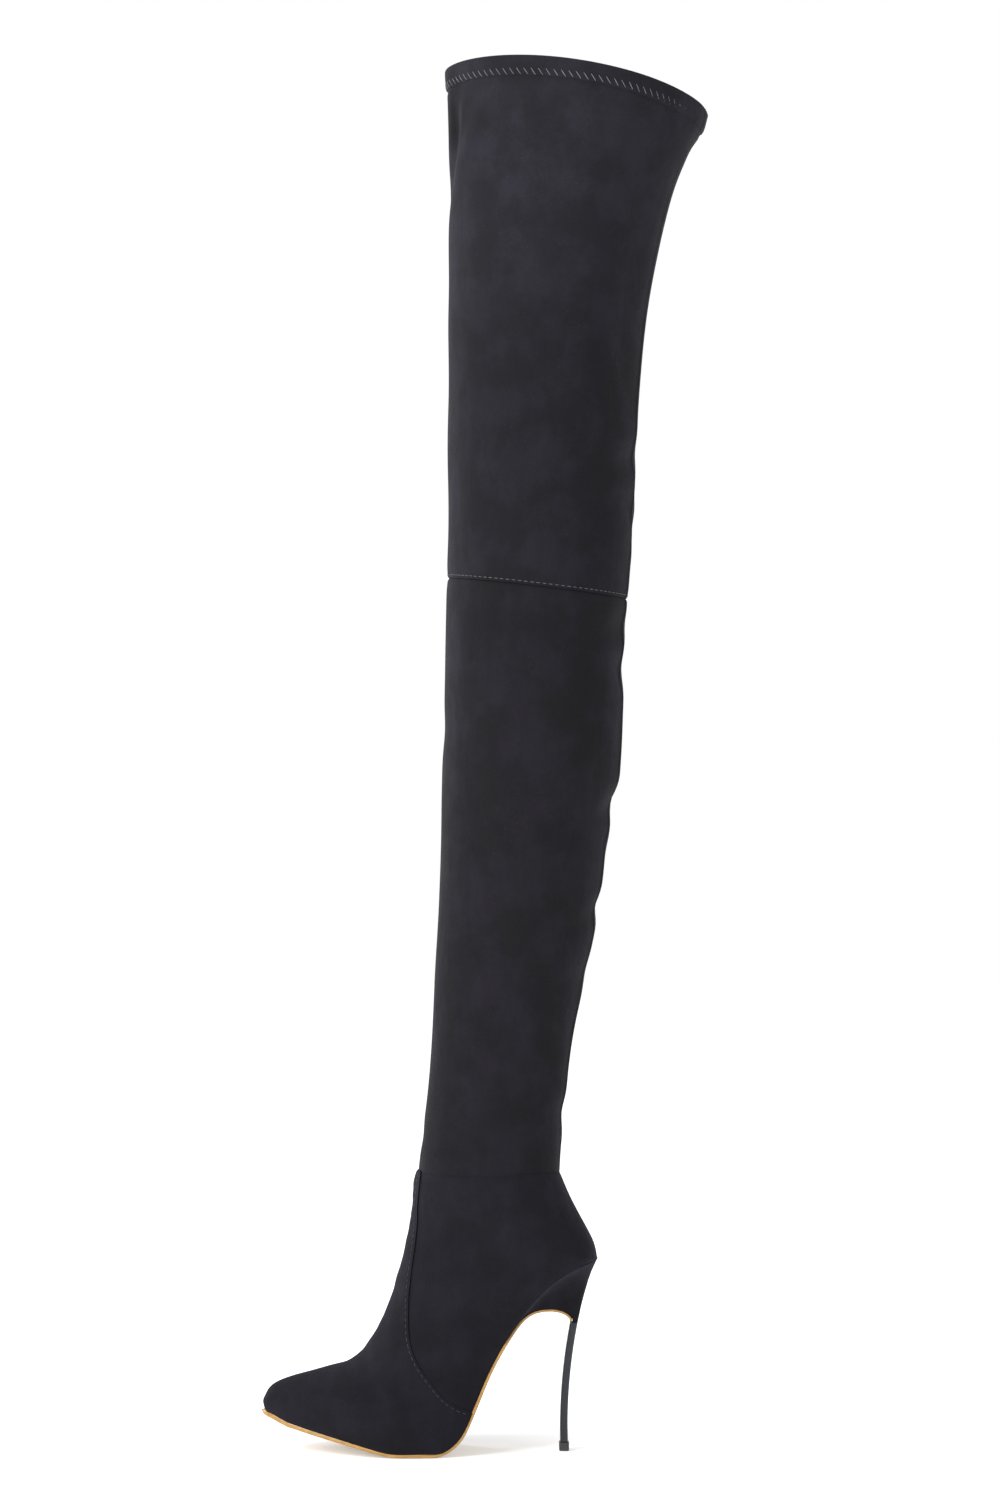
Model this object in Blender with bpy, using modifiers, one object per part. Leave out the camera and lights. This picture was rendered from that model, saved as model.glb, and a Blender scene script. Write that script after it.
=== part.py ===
"""Thigh high stiletto boot: one left boot, standing on its forefoot and its heel tip.

The toe points along -X, the outer side of the foot is at -Y, and +Z is up. The origin is on the floor,
in the middle of the flat tread under the ball of the foot. All lengths are metres.
"""

import math
from types import SimpleNamespace

import bmesh
import bpy
from mathutils import Vector

# Foot sizes
FOOT_LENGTH = 0.2085
BALL_WIDTH = 0.076
INSTEP_DEPTH = 0.0835
HEEL_HEIGHT = 0.1216
TOE_SPRING = 0.0213
COUNTER_HEIGHT = 0.0535
FOOT_WALL = 0.002
VAMP_THICKNESS = 0.0007

# Sole sizes
TREAD_THICKNESS = 0.003
WAIST_THICKNESS = 0.002
FLAP_THICKNESS = 0.0014
SOLE_MARGIN = 0.0012
SOLE_EDGE_BEVEL = 0.0006
INSOLE_THICKNESS = 0.002
INSOLE_CLEARANCE = 0.0008

# Heel sizes
NECK_DROP = 0.0403
NECK_INSET = 0.0109
NECK_WIDTH = 0.0085
BLADE_THICKNESS = 0.0050
BLADE_WIDTH = 0.0098
BLADE_LEAN = 0.0062
BLADE_BOW = 0.0021
TIP_LENGTH = 0.0062
TIP_WIDTH = 0.0112
TIP_HEIGHT = 0.0055
SMALL_BEVEL = 0.0006

# Shaft sizes
SHAFT_HEIGHT = 0.6925
SHIN_SWEEP = 0.020
CALF_DEPTH = 0.1115
CALF_WIDTH = 0.106
COLLAR_DEPTH = 0.167
COLLAR_WIDTH = 0.132
COLLAR_DROP = 0.027
COLLAR_CREST = 0.012
KNEE_HEIGHT = 0.3738
KNEE_DROP = 0.013
SHAFT_WALL = 0.0015
ANKLE_STEP = 0.0003
HEM_HEIGHT = 0.012
HEM_STEP = 0.0007

# Clearance between pieces that touch on the real boot
GAP = 0.0003

# Shape of a section: how full its lower half is, and how near its edge may come to its widest place
FULLNESS = 0.85
MAX_TUCK = 0.95

# Shape of the collar's rim: how round its rise is, and how much higher it is towards the back
RIM_ROUNDNESS = 1.4
RIM_SKEW = 0.05

# Share of the foot's length from the toe to the middle of the tread
TREAD_CENTRE = 0.456

# Sections of the foot, from the toe point round the heel seat and up the counter to the ankle.
# along: share of FOOT_LENGTH from the toe to the foot of the section
# spring, rise, counter: height of that foot, as shares of TOE_SPRING, heel rise and COUNTER_HEIGHT
# lean: degrees that the section leans towards the toe; depth: share of INSTEP_DEPTH up to its top
# wide_out, wide_in: widest half widths on the outer and inner side, shares of BALL_WIDTH
# edge_out, edge_in: half widths at the sole's edge, shares of BALL_WIDTH
# belly: share of the depth at the widest place; peak: how narrow the top is
# swing: share of BALL_WIDTH that the middle lies to the inner side; back: share of closing at the back
FOOT_COLUMNS = (
    "along", "spring", "rise", "counter", "lean", "depth",
    "wide_out", "wide_in", "edge_out", "edge_in", "belly", "peak", "swing", "back",
)
FOOT_ROWS = (
    (0.0015, 1.146, 0.000, 0.000, 15.0, 0.000, 0.000, 0.000, 0.000, 0.000, 0.40, 1.00, 0.080, 0.0),
    (0.0090, 1.000, 0.000, 0.000, 17.0, 0.079, 0.042, 0.042, 0.034, 0.034, 0.40, 1.00, 0.080, 0.0),
    (0.0210, 0.953, 0.000, 0.000, 15.3, 0.133, 0.078, 0.078, 0.067, 0.067, 0.40, 1.00, 0.079, 0.0),
    (0.0330, 0.910, 0.000, 0.000, 13.4, 0.185, 0.108, 0.110, 0.095, 0.097, 0.39, 1.00, 0.078, 0.0),
    (0.0540, 0.817, 0.000, 0.000, 11.7, 0.248, 0.155, 0.158, 0.139, 0.143, 0.38, 1.02, 0.076, 0.0),
    (0.0790, 0.723, 0.000, 0.000, 9.70, 0.300, 0.205, 0.208, 0.187, 0.190, 0.37, 1.04, 0.072, 0.0),
    (0.1150, 0.634, 0.000, 0.000, 8.30, 0.352, 0.266, 0.266, 0.243, 0.246, 0.36, 1.07, 0.066, 0.0),
    (0.1540, 0.540, 0.000, 0.000, 8.40, 0.400, 0.325, 0.322, 0.298, 0.300, 0.36, 1.10, 0.058, 0.0),
    (0.2450, 0.330, 0.000, 0.000, 12.6, 0.510, 0.430, 0.420, 0.397, 0.394, 0.35, 1.13, 0.038, 0.0),
    (0.3350, 0.110, 0.000, 0.000, 19.4, 0.624, 0.498, 0.486, 0.464, 0.455, 0.34, 1.14, 0.018, 0.0),
    (0.3870, 0.000, 0.000, 0.000, 24.2, 0.706, 0.517, 0.503, 0.486, 0.473, 0.34, 1.14, 0.010, 0.0),
    (0.4560, 0.000, 0.000, 0.000, 28.0, 0.806, 0.520, 0.500, 0.488, 0.462, 0.34, 1.13, 0.003, 0.0),
    (0.5320, 0.000, 0.000, 0.000, 31.7, 0.952, 0.503, 0.478, 0.455, 0.410, 0.36, 1.12, 0.000, 0.0),
    (0.5680, 0.000, 0.036, 0.000, 33.9, 0.988, 0.488, 0.462, 0.420, 0.362, 0.38, 1.12, 0.000, 0.0),
    (0.5920, 0.000, 0.081, 0.000, 35.9, 0.998, 0.475, 0.450, 0.392, 0.328, 0.39, 1.11, 0.000, 0.0),
    (0.6100, 0.000, 0.137, 0.000, 37.6, 0.988, 0.465, 0.443, 0.370, 0.303, 0.40, 1.10, 0.000, 0.0),
    (0.6400, 0.000, 0.256, 0.000, 41.0, 0.964, 0.450, 0.434, 0.338, 0.272, 0.41, 1.09, 0.000, 0.0),
    (0.6740, 0.000, 0.395, 0.000, 46.4, 0.937, 0.440, 0.428, 0.310, 0.252, 0.42, 1.08, 0.000, 0.0),
    (0.7220, 0.000, 0.553, 0.000, 55.1, 0.935, 0.432, 0.424, 0.290, 0.250, 0.42, 1.06, 0.000, 0.0),
    (0.7890, 0.000, 0.727, 0.000, 65.8, 0.988, 0.427, 0.422, 0.296, 0.278, 0.42, 1.04, 0.000, 0.0),
    (0.8700, 0.000, 0.882, 0.000, 74.9, 1.121, 0.426, 0.422, 0.316, 0.310, 0.41, 1.03, 0.000, 0.1),
    (0.9490, 0.000, 0.964, 0.000, 77.4, 1.288, 0.430, 0.426, 0.262, 0.260, 0.41, 1.02, 0.000, 0.5),
    (0.9790, 0.000, 0.984, 0.000, 77.0, 1.358, 0.432, 0.429, 0.183, 0.183, 0.41, 1.01, 0.000, 0.8),
    (0.9940, 0.000, 0.994, 0.000, 76.9, 1.392, 0.434, 0.431, 0.100, 0.100, 0.41, 1.00, 0.000, 0.95),
    (1.0000, 0.000, 1.000, 0.000, 76.5, 1.408, 0.436, 0.434, 0.000, 0.000, 0.42, 1.00, 0.000, 1.0),
    (0.9935, 0.000, 1.000, 0.153, 76.2, 1.379, 0.442, 0.440, 0.000, 0.000, 0.44, 1.00, 0.000, 1.0),
    (0.9760, 0.000, 1.000, 0.306, 78.3, 1.325, 0.450, 0.449, 0.000, 0.000, 0.46, 1.00, 0.000, 1.0),
    (0.9550, 0.000, 1.000, 0.460, 80.4, 1.258, 0.458, 0.458, 0.000, 0.000, 0.48, 1.00, 0.000, 1.0),
    (0.9190, 0.000, 1.000, 0.730, 84.8, 1.152, 0.466, 0.466, 0.000, 0.000, 0.49, 1.00, 0.000, 1.0),
    (0.8897, 0.000, 1.000, 1.000, 90.0, 1.055, 0.470, 0.470, 0.000, 0.000, 0.50, 1.00, 0.000, 1.0),
)

# Stations of the foot: rows of the table above
NOSE = 0.0
SOLE_START = 0.5
BREAST = 18.0
HEEL_CORNER = 24.0
ANKLE = float(len(FOOT_ROWS) - 1)

# Back edge of the vamp: station, and share of the section's depth
VAMP_COLUMNS = ("station", "height")
VAMP_ROWS = (
    (15.62, 0.00), (15.30, 0.12), (15.00, 0.27), (14.93, 0.43), (15.00, 0.60), (15.40, 0.72), (16.0, 0.80),
    (17.0, 0.87), (18.0, 0.91), (19.0, 0.94), (20.0, 0.955), (22.0, 0.972), (25.0, 0.983), (29.0, 0.988),
)

# Sections of the shaft. height: share of SHAFT_HEIGHT above the ankle; sweep: share of SHIN_SWEEP that the
# shin line lies behind the ankle's front; ankle, calf, collar: shares of the sizes at those places
SHAFT_COLUMNS = ("height", "sweep", "ankle", "calf", "collar")
SHAFT_ROWS = (
    (0.000, 0.000, 1.000, 0.000, 0.000),
    (0.038, 0.160, 0.975, 0.000, 0.000),
    (0.093, 0.380, 0.970, 0.005, 0.000),
    (0.148, 0.475, 0.900, 0.100, 0.000),
    (0.203, 0.570, 0.650, 0.350, 0.000),
    (0.257, 0.665, 0.470, 0.530, 0.000),
    (0.312, 0.725, 0.285, 0.715, 0.000),
    (0.366, 0.755, 0.040, 0.960, 0.000),
    (0.394, 0.790, 0.000, 1.000, 0.000),
    (0.449, 0.850, 0.000, 0.998, 0.000),
    (0.476, 0.860, 0.000, 0.990, 0.004),
    (0.531, 0.890, 0.000, 0.965, 0.034),
    (0.546, 0.895, 0.000, 0.955, 0.042),
    (0.585, 0.935, 0.000, 0.920, 0.080),
    (0.668, 0.950, 0.000, 0.895, 0.105),
    (0.722, 0.965, 0.000, 0.865, 0.135),
    (0.777, 0.950, 0.000, 0.785, 0.215),
    (0.832, 0.950, 0.000, 0.670, 0.330),
    (0.886, 0.975, 0.000, 0.510, 0.490),
    (0.941, 1.000, 0.000, 0.240, 0.760),
    (0.949, 0.990, 0.000, 0.150, 0.850),
    (0.961, 0.980, 0.000, 0.110, 0.890),
    (1.000, 0.885, 0.000, 0.000, 1.000),
    (1.030, 0.800, 0.000, 0.000, 1.030),
)

# Highest point of the heel's breast: how far before the neck and how far above it
ARCH_REACH = 0.0152
ARCH_RISE = 0.0085

# Handles of the breast's curve and of the heel's back curve, and the directions of the last three
BREAST_HANDLE_SEAT = 0.0195
BREAST_HANDLE_FRONT = 0.0125
BREAST_HANDLE_BACK = 0.0085
BREAST_HANDLE_NECK = 0.0045
BACK_HANDLE_SEAT = 0.0125
BACK_HANDLE_NECK = 0.0135
BREAST_NECK_DIRECTION = Vector((0.12, 0.0, 0.99))
BACK_SEAT_DIRECTION = Vector((-0.38, 0.0, -0.925))
BACK_NECK_DIRECTION = Vector((0.21, 0.0, 0.978))

# How quickly the block narrows and loses the seat's bend, and how square its neck is
BLOCK_TAPER = 2.4
SEAT_BEND_FADE = 2.0
NECK_SQUARENESS = 4.0

# Station where the sole begins to thin, how many margins it takes to reach its full margin behind the toe,
# and how quickly the flap loses it
THIN_START = 12.0
MARGIN_RUN = 3.0
MARGIN_FADE = 3.0

# Fineness of the faceted solids
FOOT_STEP = 0.0105
SECTION_LOW_STEPS = 4
SECTION_HIGH_STEPS = 7
SHAFT_SIDES = 36
SHAFT_STEP = 0.028
SEAT_STEPS = 14
BLOCK_LEVELS = 12
FLAP_STEPS = 14
BLADE_STEPS = 8
BLADE_SIDES = 16
BLADE_ROUNDNESS = 0.45
VAMP_EDGE_STEPS = 4
MERGE_DISTANCE = 0.00002

# Steps along the stations and along a curve over which a slope is read
STATION_STEP = 0.02
CURVE_STEP = 0.01

# Least hollow at the toe as a share of FOOT_WALL, and the step of the stations tried for it
LEAST_HOLLOW = 0.25
HOLLOW_STEP = 0.05

# Forms that cut the vamp: least half width at the sole's edge, and reach under it
LEAST_EDGE = 0.001
UNDER_DROP = 0.006

# Colours as linear red, green and blue, with roughness and metallic values
SUEDE = ((0.022, 0.022, 0.026), 0.85, 0.0)
TAN_LEATHER = ((0.60, 0.36, 0.13), 0.45, 0.0)
INSOLE_LINING = ((0.030, 0.028, 0.028), 0.80, 0.0)
GUNMETAL = ((0.085, 0.087, 0.095), 0.35, 1.0)
TIP_RUBBER = ((0.020, 0.020, 0.022), 0.60, 0.0)

TREAD_LEVEL = TREAD_THICKNESS + GAP
HEEL_RISE = HEEL_HEIGHT - TREAD_LEVEL


# Small helpers

def mix(a, b, share):
    """Value or point between a and b."""
    return a + (b - a) * share


def ease(share):
    """Smooth step from 0 to 1."""
    share = min(max(share, 0.0), 1.0)
    return share * share * (3.0 - 2.0 * share)


def slope(places, values, i):
    """Slope of a column at row i, which lets the curve overshoot none of its rows."""
    last = len(values) - 1
    before = after = None
    if i > 0:
        before = (values[i] - values[i - 1]) / (places[i] - places[i - 1])
    if i < last:
        after = (values[i + 1] - values[i]) / (places[i + 1] - places[i])
    if before is None or after is None:
        return after if before is None else before
    if before * after <= 0.0:
        return 0.0
    heavy = places[i + 1] - places[i]
    light = places[i] - places[i - 1]
    first, second = 2.0 * heavy + light, heavy + 2.0 * light
    return (first + second) / (first / before + second / after)


def read_column(places, values, place):
    """Smooth value of a column between its rows, which lie at the places."""
    last = len(values) - 2
    i = 0
    while i < last and places[i + 1] <= place:
        i += 1
    run = places[i + 1] - places[i]
    t = (place - places[i]) / run
    return (
        values[i] * (1.0 + 2.0 * t) * (1.0 - t) ** 2
        + slope(places, values, i) * run * t * (1.0 - t) ** 2
        + values[i + 1] * t * t * (3.0 - 2.0 * t)
        + slope(places, values, i + 1) * run * t * t * (t - 1.0)
    )


def read_row(columns, rows, place, places=None):
    """All columns of a table at a place, by name; without places, the rows lie at 0, 1, 2 and so on."""
    places = places or range(len(rows))
    values = {}
    for i, name in enumerate(columns):
        values[name] = read_column(places, [row[i] for row in rows], place)
    return SimpleNamespace(**values)


def bezier(p0, p1, p2, p3, t):
    """Point on a cubic curve."""
    u = 1.0 - t
    return p0 * u ** 3 + p1 * 3.0 * u * u * t + p2 * 3.0 * u * t * t + p3 * t ** 3


# Foot

def foot_row(station):
    return read_row(FOOT_COLUMNS, FOOT_ROWS, station)


def foot_base(station):
    """Middle of the sole's edge line, under a section of the foot."""
    row = foot_row(station)
    x = (row.along - TREAD_CENTRE) * FOOT_LENGTH
    z = TREAD_LEVEL + row.spring * TOE_SPRING + row.rise * HEEL_RISE + row.counter * COUNTER_HEIGHT
    return Vector((x, row.swing * BALL_WIDTH, z))


def foot_up(station):
    """Direction from a section's foot to its top."""
    lean = math.radians(foot_row(station).lean)
    return Vector((-math.sin(lean), 0.0, math.cos(lean)))


def foot_down(station):
    """Unit normal of the sole line, away from the foot."""
    start = foot_base(max(station - STATION_STEP, NOSE))
    end = foot_base(min(station + STATION_STEP, HEEL_CORNER))
    run = end - start
    return Vector((run.z, 0.0, -run.x)).normalized()


def side_profile(width, edge, depth, belly, peak):
    """Points (across, up) of one side of a section, from the sole's edge to the top."""
    start = math.asin(min(max(edge, 0.0) / width, MAX_TUCK) ** (1.0 / FULLNESS))
    points = []
    for i in range(SECTION_LOW_STEPS):
        a = mix(start, math.pi / 2.0, i / SECTION_LOW_STEPS)
        up = belly * depth * (1.0 - math.cos(a) / math.cos(start))
        points.append((width * math.sin(a) ** FULLNESS, up))
    for i in range(SECTION_HIGH_STEPS + 1):
        b = math.pi / 2.0 * i / SECTION_HIGH_STEPS
        up = depth * mix(belly, 1.0, math.sin(b))
        points.append((width * abs(math.cos(b)) ** peak, up))
    return points


def foot_section(station, grow=0.0, least_edge=0.0):
    """Points from the outer sole edge over the foot to the inner sole edge, grown outwards by grow."""
    row = foot_row(station)
    up = foot_up(station)
    base = foot_base(station) - up * grow * row.back
    depth = row.depth * INSTEP_DEPTH + grow * (1.0 + row.back)
    sides = []
    for wide, edge, sign in ((row.wide_out, row.edge_out, -1.0), (row.wide_in, row.edge_in, 1.0)):
        width = wide * BALL_WIDTH + grow
        foot_edge = max(edge * BALL_WIDTH + grow * (1.0 - row.back), least_edge)
        if width <= MERGE_DISTANCE or depth <= MERGE_DISTANCE:
            profile = [(0.0, 0.0)] * (SECTION_LOW_STEPS + SECTION_HIGH_STEPS + 1)
        else:
            profile = side_profile(width, foot_edge, depth, row.belly, row.peak)
        sides.append([base + Vector((0.0, sign * y, 0.0)) + up * z for y, z in profile])
    outer, inner = sides
    return outer[:-1] + inner[::-1]


def foot_stations(start, end):
    """Stations between two rows, about FOOT_STEP apart, with every row of the table among them."""
    stations = []
    row = start
    while row < end - 1e-6:
        following = min(math.floor(row + 1e-6) + 1.0, end)
        run = (foot_base(following) - foot_base(row)).length
        steps = max(1, round(run / FOOT_STEP))
        stations += [mix(row, following, i / steps) for i in range(steps)]
        row = following
    return stations + [end]


def inner_nose(grow):
    """First station at which a section shrunk by grow still has some width and depth."""
    station = NOSE
    room = LEAST_HOLLOW * FOOT_WALL
    while True:
        row = foot_row(station)
        width = min(row.wide_out, row.wide_in) * BALL_WIDTH + grow
        if width > room and row.depth * INSTEP_DEPTH + grow > room:
            return station
        station += HOLLOW_STEP


# Meshes

def make_mesh(name, loops, ladder_first=False, ladder_last=False, open_seams=()):
    """Closed mesh through loops of as many points each.

    A ladder closes an end between the mirrored points of its loop. open_seams holds (loop, point) pairs
    whose face is left out, because the two sides of a slit meet there.
    """
    mesh = bpy.data.meshes.new(name)
    bm = bmesh.new()
    rings = [[bm.verts.new(p) for p in loop] for loop in loops]
    count = len(rings[0])
    for i in range(len(rings) - 1):
        for j in range(count):
            if (i, j) not in open_seams:
                k = (j + 1) % count
                bm.faces.new((rings[i][j], rings[i][k], rings[i + 1][k], rings[i + 1][j]))
    for wanted, ring in ((ladder_first, rings[0]), (ladder_last, rings[-1])):
        if wanted:
            for j in range((count - 1) // 2):
                corners = (ring[j], ring[j + 1], ring[count - 2 - j], ring[count - 1 - j])
                bm.faces.new(tuple(dict.fromkeys(corners)))
    bmesh.ops.remove_doubles(bm, verts=bm.verts, dist=MERGE_DISTANCE)
    bmesh.ops.dissolve_degenerate(bm, edges=bm.edges, dist=MERGE_DISTANCE / 2.0)
    bmesh.ops.recalc_face_normals(bm, faces=bm.faces)
    bm.to_mesh(mesh)
    bm.free()
    return mesh


def make_material(name, finish):
    colour, roughness, metallic = finish
    material = bpy.data.materials.new(name)
    material.use_nodes = True
    shader = material.node_tree.nodes["Principled BSDF"]
    shader.inputs["Base Color"].default_value = (*colour, 1.0)
    shader.inputs["Roughness"].default_value = roughness
    shader.inputs["Metallic"].default_value = metallic
    return material


def make_object(name, mesh, collection, finish=None, smooth_angle=35.0):
    """Object in a collection, with its own material and smooth shading."""
    thing = bpy.data.objects.new(name, mesh)
    collection.objects.link(thing)
    if finish:
        mesh.materials.append(make_material(name, finish))
        mesh.shade_smooth()
        mesh.set_sharp_from_angle(angle=math.radians(smooth_angle))
    return thing


def make_cutter(name, mesh, collection):
    """Hidden object that a Boolean modifier reads."""
    cutter = make_object(name, mesh, collection)
    cutter.hide_render = True
    cutter.display_type = "WIRE"
    return cutter


def add_boolean(thing, operation, cutter):
    modifier = thing.modifiers.new(f"{operation.title()} {cutter.name}", "BOOLEAN")
    modifier.operation = operation
    modifier.solver = "EXACT"
    modifier.object = cutter


# Upper of the foot

def build_foot(collection):
    """Hollow shell of the foot: outer and inner skin, joined at the sole's edge and at the ankle."""
    first_inner = inner_nose(-FOOT_WALL)
    loops = []
    open_seams = set()
    for i, station in enumerate(foot_stations(NOSE, ANKLE)):
        outside = foot_section(station)
        if station < first_inner:
            inside = [foot_base(first_inner)] * len(outside)
        else:
            inside = foot_section(station, -FOOT_WALL)
        loops.append(outside + inside[::-1])
        if station >= HEEL_CORNER - 1e-6:
            open_seams |= {(i, len(outside) - 1), (i, 2 * len(outside) - 1)}
    mesh = make_mesh("upper_foot", loops, ladder_last=True, open_seams=open_seams)
    return make_object("upper_foot", mesh, collection, SUEDE)


def foot_form(grow, drop):
    """Filled form of the foot, grown outwards by grow and carried down by drop under the sole's edge."""
    loops = []
    for station in foot_stations(1.0, ANKLE):
        section = foot_section(station, grow, LEAST_EDGE)
        down = foot_up(station) * -drop
        loops.append([section[0] + down] + section + [section[-1] + down])
    first = loops[0]
    middle = sum(first, Vector()) / len(first)
    middle.x = foot_base(NOSE).x - grow
    return make_mesh("form", [[middle] * len(first)] + loops, ladder_last=True)


def vamp_edge():
    """Side view of the vamp's back edge, from the sole up to the ankle."""
    edge = []
    for step in range(VAMP_EDGE_STEPS * (len(VAMP_ROWS) - 1) + 1):
        row = read_row(VAMP_COLUMNS, VAMP_ROWS, step / VAMP_EDGE_STEPS)
        section = foot_row(row.station)
        height = row.height * section.depth * INSTEP_DEPTH
        point = foot_base(row.station) + foot_up(row.station) * height
        edge.append(Vector((point.x, 0.0, point.z)))
    return edge


def vamp_region():
    """Block that holds everything in front of the vamp's back edge."""
    reach = FOOT_LENGTH
    edge = vamp_edge()
    outline = [edge[0] + Vector((0.0, 0.0, -reach))] + edge + [edge[-1] + Vector((0.0, 0.0, reach))]
    outline += [outline[-1] + Vector((-reach, 0.0, 0.0)), outline[0] + Vector((-reach, 0.0, 0.0))]
    mesh = bpy.data.meshes.new("vamp_region")
    bm = bmesh.new()
    face = bm.faces.new([bm.verts.new(p + Vector((0.0, -BALL_WIDTH, 0.0))) for p in outline])
    body = bmesh.ops.extrude_face_region(bm, geom=[face])
    moved = [item for item in body["geom"] if isinstance(item, bmesh.types.BMVert)]
    bmesh.ops.translate(bm, verts=moved, vec=(0.0, 2.0 * BALL_WIDTH, 0.0))
    bmesh.ops.recalc_face_normals(bm, faces=bm.faces)
    bm.to_mesh(mesh)
    bm.free()
    return mesh


def build_vamp(collection, cutters):
    """Vamp laid over the foot, cut between two forms of the foot's own function."""
    under = make_cutter("vamp_under", foot_form(GAP, UNDER_DROP), cutters)
    region = make_cutter("vamp_region", vamp_region(), cutters)
    vamp = make_object("vamp", foot_form(GAP + VAMP_THICKNESS, 0.0), collection, SUEDE)
    add_boolean(vamp, "DIFFERENCE", under)
    add_boolean(vamp, "INTERSECT", region)
    return vamp


# Shaft

def ankle_size():
    """Depth, half width and front of the shaft where it leaves the foot."""
    row = foot_row(ANKLE)
    depth = row.depth * INSTEP_DEPTH - 2.0 * ANKLE_STEP
    half_width = row.wide_out * BALL_WIDTH - ANKLE_STEP
    front = foot_base(ANKLE).x - row.depth * INSTEP_DEPTH + ANKLE_STEP
    return depth, half_width, front


def shaft_point(angle, height, grow):
    """Point of the shaft's skin; angle 0 is the shin, and height is measured above the ankle."""
    heights = [row[0] for row in SHAFT_ROWS]
    row = read_row(SHAFT_COLUMNS, SHAFT_ROWS, height / SHAFT_HEIGHT, heights)
    ankle_depth, ankle_half, front = ankle_size()
    half_depth = (row.ankle * ankle_depth + row.calf * CALF_DEPTH + row.collar * COLLAR_DEPTH) / 2.0
    half_width = row.ankle * ankle_half + (row.calf * CALF_WIDTH + row.collar * COLLAR_WIDTH) / 2.0
    middle = front + row.sweep * SHIN_SWEEP + half_depth
    return Vector((
        middle - (half_depth + grow) * math.cos(angle),
        (half_width + grow) * math.sin(angle),
        foot_base(ANKLE).z + height,
    ))


def rim_height(angle, front, drop, crest):
    """Height of a tilted rim above the ankle: front at the shin, lower by drop behind, crest between."""
    tilt = mix(front, front - drop, (1.0 - math.cos(angle)) / 2.0)
    return tilt + crest * (1.0 - RIM_SKEW * math.cos(angle)) * abs(math.sin(angle)) ** RIM_ROUNDNESS


def ankle_rim(angle):
    return GAP


def knee_rim(angle):
    return rim_height(angle, KNEE_HEIGHT, KNEE_DROP, 0.0)


def knee_rim_above(angle):
    return knee_rim(angle) + GAP


def collar_rim(angle):
    return rim_height(angle, SHAFT_HEIGHT, COLLAR_DROP, COLLAR_CREST)


def hem_rim(angle):
    return collar_rim(angle) - HEM_HEIGHT


def shaft_ring(level, grow):
    """Ring of points; level gives the height at an angle."""
    angles = [2.0 * math.pi * i / SHAFT_SIDES for i in range(SHAFT_SIDES)]
    return [shaft_point(angle, level(angle), grow) for angle in angles]


def levels_between(low, high):
    """Rims between two rims, about SHAFT_STEP apart, with both among them."""
    steps = max(1, round((high(0.0) - low(0.0)) / SHAFT_STEP))
    return [
        lambda angle, share=i / steps: mix(low(angle), high(angle), share) for i in range(steps + 1)
    ]


def make_tube(name, outside, inside, collection):
    """Tube from its outer rings, bottom to top, and its inner rings, bottom to top."""
    loops = outside + inside[::-1] + outside[:1]
    return make_object(name, make_mesh(name, loops), collection, SUEDE)


def build_shaft_lower(collection):
    levels = levels_between(ankle_rim, knee_rim)
    outside = [shaft_ring(level, 0.0) for level in levels]
    inside = [shaft_ring(level, -SHAFT_WALL) for level in levels]
    return make_tube("shaft_lower", outside, inside, collection)


def build_shaft_upper(collection):
    """Upper tube, whose folded hem stands out as a step under the collar."""
    levels = levels_between(knee_rim_above, hem_rim)
    outside = [shaft_ring(level, 0.0) for level in levels]
    outside += [shaft_ring(hem_rim, HEM_STEP), shaft_ring(collar_rim, HEM_STEP)]
    inside = [shaft_ring(level, -SHAFT_WALL) for level in levels + [collar_rim]]
    return make_tube("shaft_upper", outside, inside, collection)


# Insole

def build_insole(collection):
    """Board inside the foot, level with the sole's edge and clear of the wall."""
    inset = FOOT_WALL + INSOLE_CLEARANCE
    first = inner_nose(-inset)
    loops = []
    for station in foot_stations(first, HEEL_CORNER):
        row = foot_row(station)
        down = foot_down(station)
        base = foot_base(station) + foot_up(station) * inset * row.back
        shrink = inset * (1.0 - row.back)
        outer = Vector((0.0, -max(row.edge_out * BALL_WIDTH - shrink, 0.0), 0.0))
        inner = Vector((0.0, max(row.edge_in * BALL_WIDTH - shrink, 0.0), 0.0))
        rise = down * -INSOLE_THICKNESS
        loops.append([base + outer, base + outer + rise, base + inner + rise, base + inner])
    mesh = make_mesh("insole", loops, ladder_first=True)
    return make_object("insole", mesh, collection, INSOLE_LINING)


# Heel

def neck_back():
    """Back of the block's neck, above the metal heel."""
    return foot_base(HEEL_CORNER) + Vector((-NECK_INSET, 0.0, -NECK_DROP))


def neck_front():
    """Front of the block's neck, behind the sole's flap."""
    room = BLADE_THICKNESS - FLAP_THICKNESS - GAP
    return neck_back() + Vector((-room, 0.0, 0.0))


def seat_point(station):
    """Middle of the heel seat, just under the upper."""
    return foot_base(station) + foot_down(station) * GAP


def breast_point(t):
    """Curve of the block's breast, from the sole's waist up to its highest point and down to the neck."""
    neck = neck_front()
    top = neck + Vector((-ARCH_REACH, 0.0, ARCH_RISE))
    if t < 0.5:
        start = seat_point(BREAST)
        down = foot_down(BREAST)
        along = Vector((-down.z, 0.0, down.x))
        front_handle = Vector((-BREAST_HANDLE_FRONT, 0.0, 0.0))
        return bezier(start, start + along * BREAST_HANDLE_SEAT, top + front_handle, top, 2.0 * t)
    back_handle = Vector((BREAST_HANDLE_BACK, 0.0, 0.0))
    neck_handle = BREAST_NECK_DIRECTION * BREAST_HANDLE_NECK
    return bezier(top, top + back_handle, neck + neck_handle, neck, 2.0 * t - 1.0)


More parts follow.
